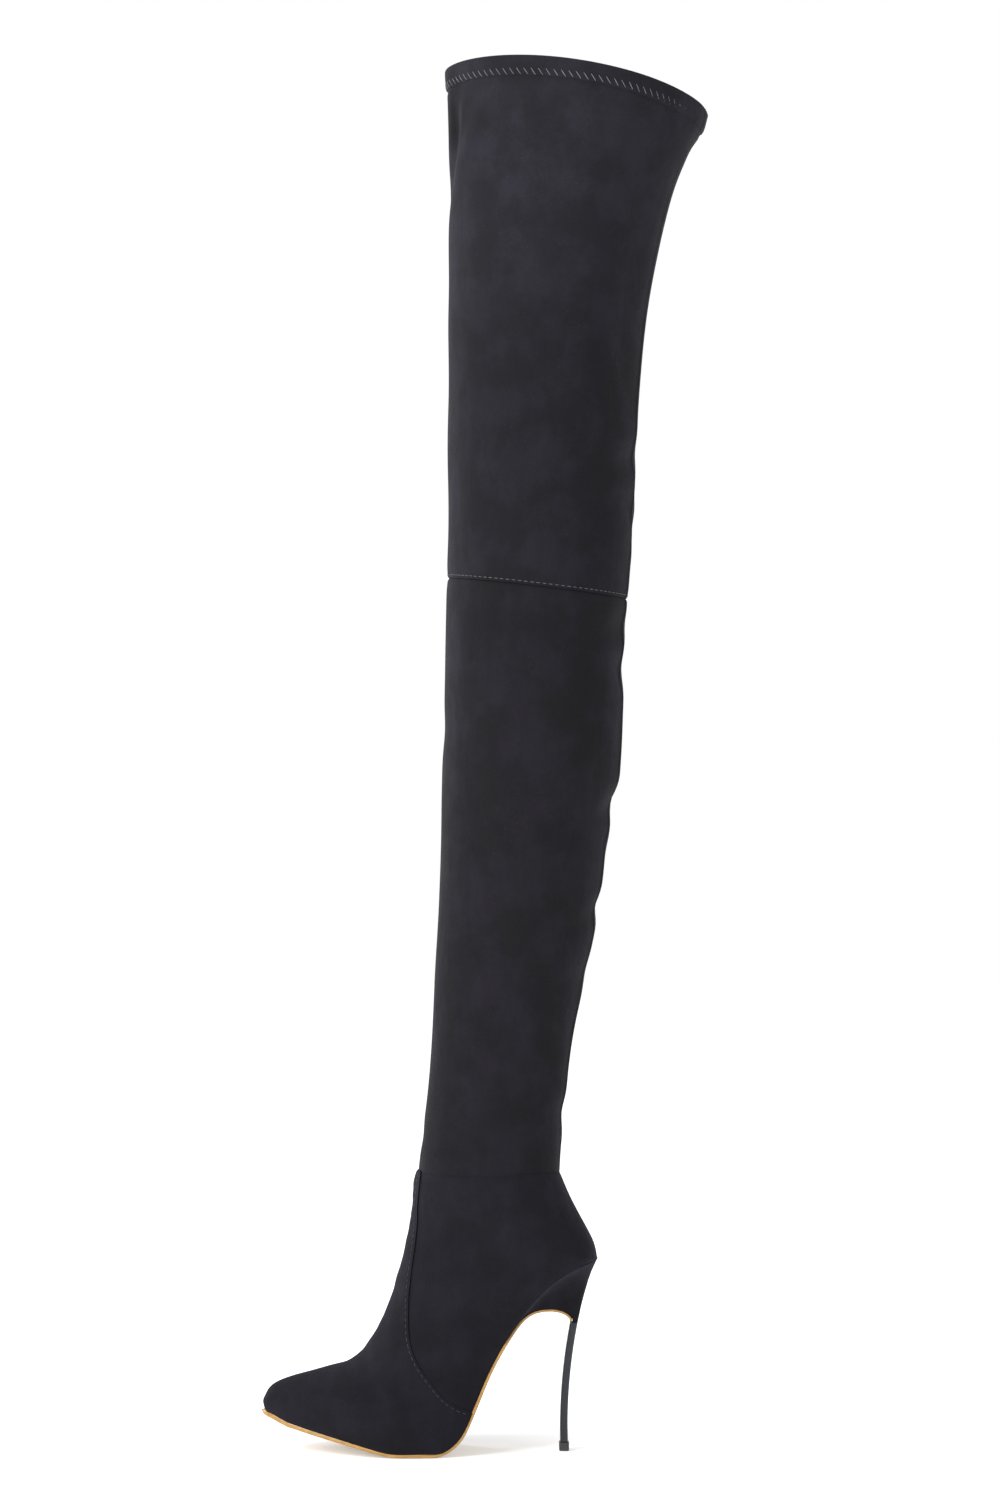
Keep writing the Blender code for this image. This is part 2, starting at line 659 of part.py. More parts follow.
def back_point(t):
    """Curve of the block's back, from the heel's corner down to the neck."""
    start = seat_point(HEEL_CORNER)
    neck = neck_back()
    seat_handle = BACK_SEAT_DIRECTION * BACK_HANDLE_SEAT
    neck_handle = BACK_NECK_DIRECTION * BACK_HANDLE_NECK
    return bezier(start, start + seat_handle, neck + neck_handle, neck, t)


def block_half_width(share, t, side):
    """Half width of the block at a share of the way from breast to back and at level t."""
    station = mix(BREAST, HEEL_CORNER, share)
    row = foot_row(station)
    seat = (row.edge_out if side < 0.0 else row.edge_in) * BALL_WIDTH
    neck = NECK_WIDTH / 2.0 * math.sqrt(1.0 - share ** NECK_SQUARENESS)
    return mix(neck, seat, (1.0 - t) ** BLOCK_TAPER)


def block_loop(t):
    """Ring of the block at level t, from the outer breast edge round the back to the inner one."""
    first, last = seat_point(BREAST), seat_point(HEEL_CORNER)
    chord = last - first
    front, back = breast_point(t), back_point(t)
    outer, inner = [], []
    for i in range(SEAT_STEPS + 1):
        share = i / SEAT_STEPS
        seat = seat_point(mix(BREAST, HEEL_CORNER, share))
        along = (seat - first).dot(chord) / chord.length_squared
        rise = seat - first - chord * along
        middle = mix(front, back, along) + rise * (1.0 - t) ** SEAT_BEND_FADE
        outer.append(middle + Vector((0.0, -block_half_width(share, t, -1.0), 0.0)))
        inner.append(middle + Vector((0.0, block_half_width(share, t, 1.0), 0.0)))
    return outer + inner[::-1]


def build_heel_block(collection):
    """Block under the heel seat: wide as the seat above, narrow as the metal heel below."""
    loops = [block_loop(i / BLOCK_LEVELS) for i in range(BLOCK_LEVELS + 1)]
    mesh = make_mesh("heel_block", loops, ladder_first=True, ladder_last=True)
    return make_object("heel_block", mesh, collection, SUEDE)


def blade_top():
    """Middle of the metal heel's top face."""
    back = neck_back()
    return Vector((back.x - BLADE_THICKNESS / 2.0, 0.0, back.z - GAP))


def add_bevel(thing, width, segments):
    modifier = thing.modifiers.new("Rounded edges", "BEVEL")
    modifier.width = width
    modifier.segments = segments
    modifier.limit_method = "ANGLE"


def build_box(name, low, high, length, width, collection, finish):
    """Post from the middle of its low face to the middle of its high face, with rounded edges."""
    mesh = bpy.data.meshes.new(name)
    bm = bmesh.new()
    bmesh.ops.create_cube(bm, size=1.0)
    for vert in bm.verts:
        end = high if vert.co.z > 0.0 else low
        vert.co = end + Vector((vert.co.x * length, vert.co.y * width, 0.0))
    bm.to_mesh(mesh)
    bm.free()
    post = make_object(name, mesh, collection, finish)
    add_bevel(post, SMALL_BEVEL, 2)
    return post


def blade_foot():
    """Middle of the metal heel's lower face."""
    top = blade_top()
    return Vector((top.x - BLADE_LEAN, 0.0, TIP_HEIGHT + GAP))


def rounded_loop(middle, length, width):
    """Level rounded rectangle round a point, from its outer side over the back to its inner side."""
    loop = []
    for i in range(BLADE_SIDES):
        angle = 2.0 * math.pi * (i + 0.5) / BLADE_SIDES
        x = math.copysign(abs(math.cos(angle)) ** BLADE_ROUNDNESS, math.cos(angle))
        y = math.copysign(abs(math.sin(angle)) ** BLADE_ROUNDNESS, math.sin(angle))
        loop.append(middle + Vector((x * length / 2.0, y * width / 2.0, 0.0)))
    return loop


def build_heel_blade(collection):
    """Metal heel: a flat post that leans forward and bows a little on its way to the tip."""
    top, foot = blade_top(), blade_foot()
    loops = []
    for i in range(BLADE_STEPS + 1):
        t = i / BLADE_STEPS
        middle = mix(top, foot, t) + Vector((-BLADE_BOW * 4.0 * t * (1.0 - t), 0.0, 0.0))
        loops.append(rounded_loop(middle, BLADE_THICKNESS, BLADE_WIDTH))
    mesh = make_mesh("heel_blade", loops, ladder_first=True, ladder_last=True)
    return make_object("heel_blade", mesh, collection, GUNMETAL)


def build_heel_tip(collection):
    middle = blade_foot().x
    low = Vector((middle, 0.0, 0.0))
    high = Vector((middle, 0.0, TIP_HEIGHT))
    return build_box("heel_tip", low, high, TIP_LENGTH, TIP_WIDTH, collection, TIP_RUBBER)


# Outsole

def sole_loop(middle, down, outer, inner, thickness):
    """Section of the sole under a point, with its lower edges bevelled."""
    bevel = SOLE_EDGE_BEVEL
    lower = down * thickness
    side = down * (thickness - bevel)
    left = Vector((0.0, -outer, 0.0))
    right = Vector((0.0, inner, 0.0))
    inset = Vector((0.0, bevel, 0.0))
    return [
        middle + left, middle + left + side, middle + left + inset + lower,
        middle + right - inset + lower, middle + right + side, middle + right,
    ]


def sole_thickness(station):
    """Full under the tread, thinner from the waist to the breast."""
    thin = ease((station - THIN_START) / (BREAST - THIN_START))
    return mix(TREAD_THICKNESS, WAIST_THICKNESS, thin)


def build_outsole(collection):
    """Sole from the toe along the tread and waist, then down the heel's breast as a flap."""
    loops = []
    for station in foot_stations(SOLE_START, BREAST):
        row = foot_row(station)
        down = foot_down(station)
        margin = min(SOLE_MARGIN, row.along * FOOT_LENGTH / MARGIN_RUN)
        outer = row.edge_out * BALL_WIDTH + margin
        inner = row.edge_in * BALL_WIDTH + margin
        middle = foot_base(station) + down * GAP
        loops.append(sole_loop(middle, down, outer, inner, sole_thickness(station)))
    for i in range(1, FLAP_STEPS + 1):
        t = i / FLAP_STEPS
        run = breast_point(min(t + CURVE_STEP, 1.0)) - breast_point(t - CURVE_STEP)
        down = Vector((run.z, 0.0, -run.x)).normalized()
        thickness = mix(WAIST_THICKNESS, FLAP_THICKNESS, t)
        margin = mix(SOLE_MARGIN, 0.0, ease(MARGIN_FADE * t))
        outer = block_half_width(0.0, t, -1.0) + margin
        inner = block_half_width(0.0, t, 1.0) + margin
        loops.append(sole_loop(breast_point(t) + down * GAP, down, outer, inner, thickness))
    mesh = make_mesh("outsole", loops, ladder_first=True, ladder_last=True)
    return make_object("outsole", mesh, collection, TAN_LEATHER)


# Assembly

def clear_scene():
    for thing in list(bpy.data.objects):
        bpy.data.objects.remove(thing, do_unlink=True)


def new_collection(name):
    collection = bpy.data.collections.new(name)
    bpy.context.scene.collection.children.link(collection)
    return collection


def main():
    clear_scene()
    boot = new_collection("thigh_high_boot")
    cutters = new_collection("cutters")
    build_outsole(boot)
    build_insole(boot)
    build_foot(boot)
    build_vamp(boot, cutters)
    build_shaft_lower(boot)
    build_shaft_upper(boot)
    build_heel_block(boot)
    build_heel_blade(boot)
    build_heel_tip(boot)


main()
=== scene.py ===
"""Looks of a thigh high stiletto boot: suede, seams, sole, heel and studio, round its fixed frame.

Lengths are metres. The toe points along -X, the outer side of this left boot is at -Y, and the
floor is Z = 0. A place on the leg is given by its height and its side: 0 degrees at the shin,
90 at the outer side, 180 at the back and -90 at the inner side.
"""

import math
from collections import namedtuple

import bpy
import numpy as np
from mathutils import Matrix, Vector, noise


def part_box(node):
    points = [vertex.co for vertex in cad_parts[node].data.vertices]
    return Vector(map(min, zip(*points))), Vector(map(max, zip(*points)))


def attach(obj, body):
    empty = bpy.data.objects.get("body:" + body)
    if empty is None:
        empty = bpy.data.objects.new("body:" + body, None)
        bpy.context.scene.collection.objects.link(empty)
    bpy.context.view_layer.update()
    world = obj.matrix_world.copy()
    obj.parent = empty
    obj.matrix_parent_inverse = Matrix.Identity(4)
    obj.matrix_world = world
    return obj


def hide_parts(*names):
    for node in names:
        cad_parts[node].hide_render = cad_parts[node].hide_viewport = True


bl_info = {
    "name": "Thigh High Boot",
    "version": (1, 0, 0),
    "blender": (4, 5, 0),
    "location": "3D View > Sidebar > Boot",
    "description": "Builds the suede, seams, sole, heel and studio of a thigh high boot",
    "category": "Object",
}

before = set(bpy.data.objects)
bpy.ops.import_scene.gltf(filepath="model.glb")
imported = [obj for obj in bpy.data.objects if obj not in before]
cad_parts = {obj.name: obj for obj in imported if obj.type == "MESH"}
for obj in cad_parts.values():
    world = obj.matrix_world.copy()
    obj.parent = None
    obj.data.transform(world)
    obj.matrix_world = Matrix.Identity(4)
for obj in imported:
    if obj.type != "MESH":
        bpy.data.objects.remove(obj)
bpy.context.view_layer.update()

MERGE_DISTANCE = 0.00002

# Corners nearer to Y = 0 than this lie in the boot's middle plane
MIDDLE_PLANE = 0.0005

# The back seam's side at the ankle and above, and how far up it swings from one to the other
ANKLE_SEAM_SIDE = 176.0
BACK_SEAM_SIDE = 167.0
SEAM_SWING = 0.09

# Tints of the pale sheen on the suede, and how light the thigh's colour is at the knee,
# where it is painted darker as painted shade for less light
LEG_SHEEN = "#A0A0B2"
FOOT_SHEEN = "#9694B2"
KNEE_PAINTED_SHADE = 0.72

# Where the folds of the worn leg lie. height and side place a fold's middle, run and across are its
# half length and half width, depth is positive for a ridge, and tilt is its angle above the level
Fold = namedtuple("Fold", "height side run across depth tilt")
THIGH_FOLDS = (
    Fold(0.822, 13.0, 0.034, 0.0085, -0.0042, 72.0),
    Fold(0.826, 36.0, 0.036, 0.0065, 0.0013, 62.0),
    Fold(0.800, -16.0, 0.040, 0.0100, -0.0026, 100.0),
    Fold(0.812, 128.0, 0.050, 0.0150, -0.0016, 78.0),
    Fold(0.750, 140.0, 0.060, 0.0140, -0.0014, 86.0),
    Fold(0.690, 146.0, 0.055, 0.0130, -0.0011, 90.0),
    Fold(0.826, -140.0, 0.045, 0.0110, -0.0036, 100.0),
    Fold(0.740, -152.0, 0.060, 0.0120, -0.0024, 92.0),
    Fold(0.720, 60.0, 0.050, 0.0160, 0.0012, 8.0),
    Fold(0.664, 75.0, 0.055, 0.0140, -0.0011, -4.0),
    Fold(0.622, 158.0, 0.026, 0.0085, -0.0022, 14.0),
    Fold(0.593, 150.0, 0.030, 0.0080, -0.0020, -10.0),
    Fold(0.610, -150.0, 0.034, 0.0095, -0.0022, 12.0),
    Fold(0.575, -160.0, 0.028, 0.0085, -0.0018, -8.0),
    Fold(0.832, 180.0, 0.030, 0.0070, 0.0026, 0.0),
)
LEG_FOLDS = (
    Fold(0.518, 158.0, 0.030, 0.0085, -0.0017, 12.0),
    Fold(0.492, 150.0, 0.028, 0.0080, -0.0020, -12.0),
    Fold(0.455, 20.0, 0.030, 0.0110, -0.0010, 6.0),
    Fold(0.409, 176.0, 0.030, 0.0075, -0.0023, 16.0),
    Fold(0.386, 150.0, 0.030, 0.0080, -0.0010, -18.0),
    Fold(0.342, 176.0, 0.032, 0.0075, -0.0021, 14.0),
    Fold(0.500, -155.0, 0.034, 0.0090, -0.0020, 12.0),
    Fold(0.398, -165.0, 0.030, 0.0085, -0.0016, -12.0),
    Fold(0.300, 165.0, 0.028, 0.0090, -0.0010, 10.0),
    Fold(0.214, 168.0, 0.026, 0.0080, -0.0012, -8.0),
    Fold(0.196, -20.0, 0.024, 0.0075, -0.0008, 6.0),
)

# Painted shade of the hollow under the hem at the shin side. The suede's colour is shade times as light in
# its middle
ShadeSpot = namedtuple("ShadeSpot", "centre reach shade")
HEM_PAINTED_SHADE = ShadeSpot((0.0235, -0.016, 0.842), 0.032, 0.36)

# Back edge of the vamp in the side view, as (X, Z) from the ankle seam down to the sole
VAMP_EDGE = (
    (0.0036, 0.1756), (0.0016, 0.1568), (0.0014, 0.1445), (0.0001, 0.1310), (-0.0013, 0.1211),
    (-0.0028, 0.1094), (-0.0038, 0.0970), (-0.0039, 0.0822), (-0.0025, 0.0703), (0.0019, 0.0587),
    (0.0102, 0.0471), (0.0185, 0.0372), (0.0276, 0.0306), (0.0358, 0.0276),
)

# Area lights, which all look at the middle of the leg. Power is in watts
Light = namedtuple("Light", "name place size power")
LIGHTS = (
    Light("key_light", (-2.0, -1.7, 1.8), (1.4, 1.8), 90.0),
    Light("fill_light", (1.8, -1.8, 0.9), (1.2, 1.6), 10.0),
    Light("left_rim_light", (-1.5, 1.3, 1.0), (0.8, 1.8), 14.0),
    Light("right_rim_light", (1.5, 1.4, 1.0), (0.8, 1.8), 3.0),
)


# Colours and sizes that a user would change

def linear(hex_colour):
    """Linear red, green, blue and alpha of an sRGB hex value."""
    channels = [int(hex_colour[i:i + 2], 16) / 255.0 for i in (1, 3, 5)]
    return (*[c / 12.92 if c <= 0.04045 else ((c + 0.055) / 1.055) ** 2.4 for c in channels], 1.0)


def colour_property(name, description, hex_colour):
    return bpy.props.FloatVectorProperty(
        name=name, description=description, default=linear(hex_colour), size=4, min=0.0, max=1.0,
        subtype="COLOR",
    )


def length_property(name, description, default):
    return bpy.props.FloatProperty(
        name=name, description=description, default=default, min=0.0, precision=5, unit="LENGTH",
    )


class BootSizes(bpy.types.PropertyGroup):
    """Sizes of the seams and threads"""

    vamp_step: length_property("Vamp step", "Height of the vamp's edge above the quarters", 0.0009)
    edge_round: length_property("Edge rounding", "Rounding of cut and folded suede edges", 0.0007)
    seat_round: length_property("Seat rounding", "Rounding where the foot meets the heel", 0.00012)
    seam_depth: length_property("Seam depth", "Depth of the back seam's valley", 0.0007)
    seam_pinch: length_property("Seam pinch", "How far the knee seam draws the leg in", 0.0012)
    unevenness: length_property("Unevenness", "Slow unevenness of the stretched cloth", 0.0006)
    nap: length_property("Nap", "How far the nap stands out from the cloth", 0.0008)
    seat_bead: length_property("Seat bead", "How far the suede fills the heel seat's corner", 0.0005)
    counter_bulge: length_property("Counter bulge", "Swelling of the foot's back over the heel", 0.0008)
    thread: length_property("Thread", "Thickness of the sewing thread", 0.0005)
    stitch: length_property("Stitch", "Length of one stitch of a plain seam", 0.0024)
    stitch_gap: length_property("Stitch gap", "Gap between two stitches of a plain seam", 0.0015)
    zigzag_pitch: length_property("Zigzag pitch", "Length of one zigzag along the hem", 0.0047)
    zigzag_height: length_property("Zigzag height", "Height of the hem's zigzag", 0.0038)
    hem_pinch: length_property("Hem pinch", "How far the zigzag draws the cloth in under the hem", 0.0006)
    hem_height: length_property("Hem height", "Height of the folded hem", 0.0120)


class BootColours(bpy.types.PropertyGroup):
    """Colours of the boot's finishes"""

    thigh: colour_property("Thigh suede", "Suede above the knee seam", "#1E1D22")
    leg: colour_property("Leg suede", "Suede between the knee seam and the ankle", "#17161A")
    foot: colour_property("Foot suede", "Suede of the foot and the heel block", "#16151A")
    lining: colour_property("Lining", "Knitted lining inside the leg", "#1D1C1E")
    hem_thread: colour_property("Hem thread", "Zigzag thread of the hem", "#707078")
    seam_thread: colour_property("Seam thread", "Thread of the knee seam", "#56555B")
    vamp_thread: colour_property("Vamp thread", "Thread along the vamp's edge", "#2C2B30")
    sole_edge: colour_property("Sole edge", "Painted edge of the sole", "#A9803F")
    sole_leather: colour_property("Sole leather", "Underside of the sole", "#9C8462")
    metal: colour_property("Gunmetal", "Plated metal heel", "#3B3C40")
    rubber: colour_property("Top piece", "Pad under the metal heel", "#2A2A2C")
    floor: colour_property("Floor", "Floor and backdrop", "#F4F4F4")


# Nodes and materials

def add_node(tree, kind, inputs=None, **settings):
    """Adds a node; inputs holds its sockets' values or the outputs linked to them."""
    node = tree.nodes.new(kind)
    for name, value in settings.items():
        setattr(node, name, value)
    for socket, value in (inputs or {}).items():
        if isinstance(value, bpy.types.NodeSocket):
            tree.links.new(value, node.inputs[socket])
        else:
            node.inputs[socket].default_value = value
    return node


def new_material(name):
    """Material with nothing but its Principled shader and output."""
    material = bpy.data.materials.get(name) or bpy.data.materials.new(name)
    material.use_nodes = True
    tree = material.node_tree
    tree.nodes.clear()
    shader = add_node(tree, "ShaderNodeBsdfPrincipled")
    output = add_node(tree, "ShaderNodeOutputMaterial")
    tree.links.new(shader.outputs["BSDF"], output.inputs["Surface"])
    return material, tree, shader


def object_place(tree, scale=(1.0, 1.0, 1.0)):
    """Object coordinates, stretched by scale."""
    place = add_node(tree, "ShaderNodeTexCoord")
    mapping = add_node(tree, "ShaderNodeMapping", {"Vector": place.outputs["Object"], "Scale": scale})
    return mapping.outputs["Vector"]


def noise_of_size(tree, size, place, detail=2.0, roughness=0.5):
    """Noise whose lumps are about size metres across."""
    inputs = {"Vector": place, "Scale": 1.0 / size, "Detail": detail, "Roughness": roughness}
    return add_node(tree, "ShaderNodeTexNoise", inputs).outputs["Fac"]


def ramp(tree, value, low, high, low_result, high_result):
    """Maps value from low..high to two results, smoothly and clamped."""
    inputs = {"Value": value, 1: low, 2: high, 3: low_result, 4: high_result}
    return add_node(tree, "ShaderNodeMapRange", inputs, interpolation_type="SMOOTHSTEP").outputs[0]


def mixed_colour(tree, share, first, second):
    inputs = {"Factor": share, 6: first, 7: second}
    return add_node(tree, "ShaderNodeMix", inputs, data_type="RGBA").outputs[2]


def shaded(colour, share):
    """Colour made darker or lighter by a share of itself."""
    return (*[min(c * share, 1.0) for c in colour[:3]], 1.0)


def multiplied(tree, colour, share):
    """Colour times a share that varies from place to place."""
    inputs = {"Factor": 1.0, 6: colour, 7: share}
    return add_node(tree, "ShaderNodeMix", inputs, data_type="RGBA", blend_type="MULTIPLY").outputs[2]


def bump(tree, height, depth, under=None):
    inputs = {"Height": height, "Strength": 1.0, "Distance": depth}
    if under is not None:
        inputs["Normal"] = under
    return add_node(tree, "ShaderNodeBump", inputs).outputs["Normal"]


def wave_scale(pitch):
    """Scale of a diagonal wave pattern that repeats every pitch metres along each axis."""
    return 0.2 * math.pi / pitch


def painted_shade_spot(tree, place, colour, spot):
    """Colour with painted shade round one spot of the skin, for the shade of a hollow."""
    core = spot.reach * 0.4
    inputs = {0: place, 1: spot.centre}
    away = add_node(tree, "ShaderNodeVectorMath", inputs, operation="DISTANCE").outputs["Value"]
    return multiplied(tree, colour, ramp(tree, away, core, spot.reach, spot.shade, 1.0))


def faux_suede(name, colour, sheen_tint, painted_knee_shade=1.0, spot=None):
    """Stretch faux suede: microfibre with a short brushed nap.

    The nap gives a soft, dull face with cloudy lighter and darker patches where it is brushed either
    way, and a pale sheen where the surface turns away. The real fibres are under 0.1 mm, so they are
    drawn as 0.6 mm lumps that still show. Grains of lint cling to it here and there. Below the widening
    of the thigh its colour is painted darker towards the knee, down to painted_knee_shade times as light:
    painted shade for the light that falls off downwards. A spot is painted shade round one place of
    the skin, for the shade of a hollow.
    """
    cloud_size, stroke_size, fibre_size, lint_spacing = 0.030, 0.010, 0.0006, 0.004
    stroke_length, shade_fade_low, shade_fade_high = 0.35, 0.66, 0.80
    stroke_depth, fibre_depth = 0.0004, 0.00022
    material, tree, shader = new_material(name)
    place = object_place(tree)
    clouds = noise_of_size(tree, cloud_size, place, 6.0, 0.62)
    strokes = noise_of_size(tree, stroke_size, object_place(tree, (1.0, 1.0, stroke_length)), 4.0, 0.6)
    fibres = noise_of_size(tree, fibre_size, place, 3.0, 0.7)
    grains = add_node(tree, "ShaderNodeTexVoronoi", {"Vector": place, "Scale": 1.0 / lint_spacing})
    height = add_node(tree, "ShaderNodeSeparateXYZ", {"Vector": place}).outputs["Z"]
    red, green, blue, _ = colour
    lying, standing = shaded(colour, 0.72), (red * 1.28, green * 1.25, blue * 1.42, 1.0)
    stroked, gap, lint = shaded(colour, 1.45), shaded(colour, 0.50), shaded(colour, 6.0)
    tone = mixed_colour(tree, ramp(tree, clouds, 0.38, 0.62, 0.0, 1.0), lying, standing)
    tone = mixed_colour(tree, ramp(tree, strokes, 0.30, 0.70, 0.0, 0.45), tone, stroked)
    tone = mixed_colour(tree, ramp(tree, fibres, 0.35, 0.70, 0.0, 0.45), tone, gap)
    tone = mixed_colour(tree, ramp(tree, grains.outputs["Distance"], 0.045, 0.075, 0.35, 0.0), tone, lint)
    # Painted shade: the thigh's colour darkens towards the knee, where less light falls
    tone = multiplied(tree, tone, ramp(tree, height, shade_fade_low, shade_fade_high, painted_knee_shade, 1.0))
    # Painted shade of the hollow under the hem
    if spot:
        tone = painted_shade_spot(tree, place, tone, spot)
    tree.links.new(tone, shader.inputs["Base Color"])
    tree.links.new(ramp(tree, strokes, 0.3, 0.7, 0.82, 0.98), shader.inputs["Roughness"])
    normal = bump(tree, strokes, stroke_depth)
    tree.links.new(bump(tree, fibres, fibre_depth, normal), shader.inputs["Normal"])
    shader.inputs["Specular IOR Level"].default_value = 0.15
    shader.inputs["Sheen Weight"].default_value = 0.09
    shader.inputs["Sheen Roughness"].default_value = 0.45
    shader.inputs["Sheen Tint"].default_value = linear(sheen_tint)
    return material


def knitted_lining(colour):
    """Warp-knitted polyester lining: slanting ribs that give it a slight shine.

    The real ribs are about 1 mm apart. They are drawn 2.7 mm apart, so that they show.
    """
    rib_pitch = 0.00475
    material, tree, shader = new_material("Knitted polyester lining")
    place = object_place(tree)
    ribs = add_node(
        tree, "ShaderNodeTexWave", {"Vector": place, "Scale": wave_scale(rib_pitch), "Distortion": 0.6},
        bands_direction="DIAGONAL",
    ).outputs["Fac"]
    tint = mixed_colour(tree, ribs, shaded(colour, 0.8), shaded(colour, 1.3))
    tree.links.new(tint, shader.inputs["Base Color"])
    tree.links.new(bump(tree, ribs, 0.0002), shader.inputs["Normal"])
    shader.inputs["Roughness"].default_value = 0.75
    shader.inputs["Sheen Weight"].default_value = 0.2
    return material


def polyester_thread(name, colour):
    """Twisted polyester thread: a satin strand with a slanted twist, drawn 2 mm long so that it shows."""
    twist_pitch = 0.00198
    material, tree, shader = new_material(name)
    place = object_place(tree)
    twist = add_node(
        tree, "ShaderNodeTexWave", {"Vector": place, "Scale": wave_scale(twist_pitch)},
        bands_direction="DIAGONAL",
    ).outputs["Fac"]
    tree.links.new(
        mixed_colour(tree, twist, shaded(colour, 0.75), shaded(colour, 1.1)), shader.inputs["Base Color"]
    )
    tree.links.new(bump(tree, twist, 0.00008), shader.inputs["Normal"])
    shader.inputs["Roughness"].default_value = 0.5
    return material


def painted_sole_edge(colour):
    """Leather edge painted in satin gold tan: smooth, with slight streaks along the edge."""
    streak_size = 0.002
    material, tree, shader = new_material("Painted sole edge")
    streaks = noise_of_size(tree, streak_size, object_place(tree, (0.2, 1.0, 2.0)), 3.0)
    share = ramp(tree, streaks, 0.3, 0.7, 0.0, 1.0)
    tint = mixed_colour(tree, share, shaded(colour, 0.82), shaded(colour, 1.15))
    tree.links.new(tint, shader.inputs["Base Color"])
    tree.links.new(ramp(tree, streaks, 0.3, 0.7, 0.30, 0.42), shader.inputs["Roughness"])
    tree.links.new(bump(tree, streaks, 0.00005), shader.inputs["Normal"])
    shader.inputs["Coat Weight"].default_value = 0.25
    shader.inputs["Coat Roughness"].default_value = 0.25
    return material


def sole_leather(colour):
    """Smooth vegetable-tanned sole leather: fine pores and pale scuffs along its length."""
    pore_size, scuff_size = 0.0011, 0.009
    material, tree, shader = new_material("Tan sole leather")
    place = object_place(tree)
    pores = add_node(
        tree, "ShaderNodeTexVoronoi", {"Vector": place, "Scale": 1.0 / pore_size}
    ).outputs["Distance"]
    scuffs = noise_of_size(tree, scuff_size, object_place(tree, (0.3, 1.0, 1.0)), 5.0, 0.65)
    share = ramp(tree, scuffs, 0.42, 0.66, 0.0, 1.0)
    tint = mixed_colour(tree, share, shaded(colour, 0.88), shaded(colour, 1.12))
    tree.links.new(tint, shader.inputs["Base Color"])
    tree.links.new(ramp(tree, scuffs, 0.4, 0.7, 0.38, 0.6), shader.inputs["Roughness"])
    tree.links.new(bump(tree, pores, 0.00006), shader.inputs["Normal"])
    return material


def gunmetal(colour):
    """Steel plated in gunmetal and brushed lengthways: fine upright scratches and a soft shine."""
    scratch_size = 0.0004
    material, tree, shader = new_material("Brushed gunmetal plating")
    scratches = noise_of_size(tree, scratch_size, object_place(tree, (1.0, 1.0, 0.02)), 3.0, 0.6)
    tint = mixed_colour(tree, scratches, shaded(colour, 0.85), shaded(colour, 1.12))
    tree.links.new(tint, shader.inputs["Base Color"])
    tree.links.new(ramp(tree, scratches, 0.3, 0.7, 0.24, 0.40), shader.inputs["Roughness"])
    tree.links.new(bump(tree, scratches, 0.00003), shader.inputs["Normal"])
    shader.inputs["Metallic"].default_value = 1.0
    return material


def heel_rubber(colour):
    """Dense moulded polyurethane of a top piece: fine matt grain, and a painted highlight along its foot.
    """
    grain_size, highlight_full_height, highlight_end_height = 0.0005, 0.0002, 0.0012
    material, tree, shader = new_material("Moulded heel rubber")
    place = add_node(tree, "ShaderNodeTexCoord").outputs["Object"]
    height = add_node(tree, "ShaderNodeSeparateXYZ", {"Vector": place}).outputs["Z"]
    grain = noise_of_size(tree, grain_size, place)
    # Painted highlight: the foot of the top piece is painted paler
    painted_highlight_share = ramp(tree, height, highlight_full_height, highlight_end_height, 1.0, 0.0)
    tree.links.new(mixed_colour(tree, painted_highlight_share, colour, shaded(colour, 4.0)), shader.inputs["Base Color"])
    tree.links.new(ramp(tree, grain, 0.3, 0.7, 0.5, 0.7), shader.inputs["Roughness"])
    tree.links.new(bump(tree, grain, 0.00005), shader.inputs["Normal"])
    return material


def insole_sock(colour):
    """Brushed cloth sock glued over the insole board: dull, with a short, loose pile."""
    fibre_size = 0.0008
    material, tree, shader = new_material("Brushed insole sock")
    fibres = noise_of_size(tree, fibre_size, object_place(tree), 3.0)
    tint = mixed_colour(tree, fibres, shaded(colour, 0.7), shaded(colour, 1.4))
    tree.links.new(tint, shader.inputs["Base Color"])
    tree.links.new(bump(tree, fibres, 0.0002), shader.inputs["Normal"])
    shader.inputs["Roughness"].default_value = 0.9
    return material


def studio_paper(colour):
    """Seamless paper, matt and barely uneven, with painted light: it glows to look lit white, and less
    round the boot as painted shade.
    """
    near, far, painted_light_near, painted_light_far, tone_size = 0.05, 0.20, 0.36, 0.70, 0.6
    material, tree, shader = new_material("Seamless paper")
    place = object_place(tree)
    tone = noise_of_size(tree, tone_size, place)
    tree.links.new(mixed_colour(tree, tone, shaded(colour, 0.98), colour), shader.inputs["Base Color"])
    # Painted light: the paper glows, and glows less round the boot as painted shade
    away = add_node(tree, "ShaderNodeVectorMath", {"Vector": place}, operation="LENGTH").outputs["Value"]
    tree.links.new(ramp(tree, away, near, far, painted_light_near, painted_light_far), shader.inputs["Emission Strength"])
    shader.inputs["Roughness"].default_value = 0.9
    shader.inputs["Emission Color"].default_value = colour
    return material


# Modelling helpers

def activate(piece):
    """Makes a piece the only selected and the active object."""
    bpy.ops.object.select_all(action="DESELECT")
    piece.select_set(True)
    bpy.context.view_layer.objects.active = piece


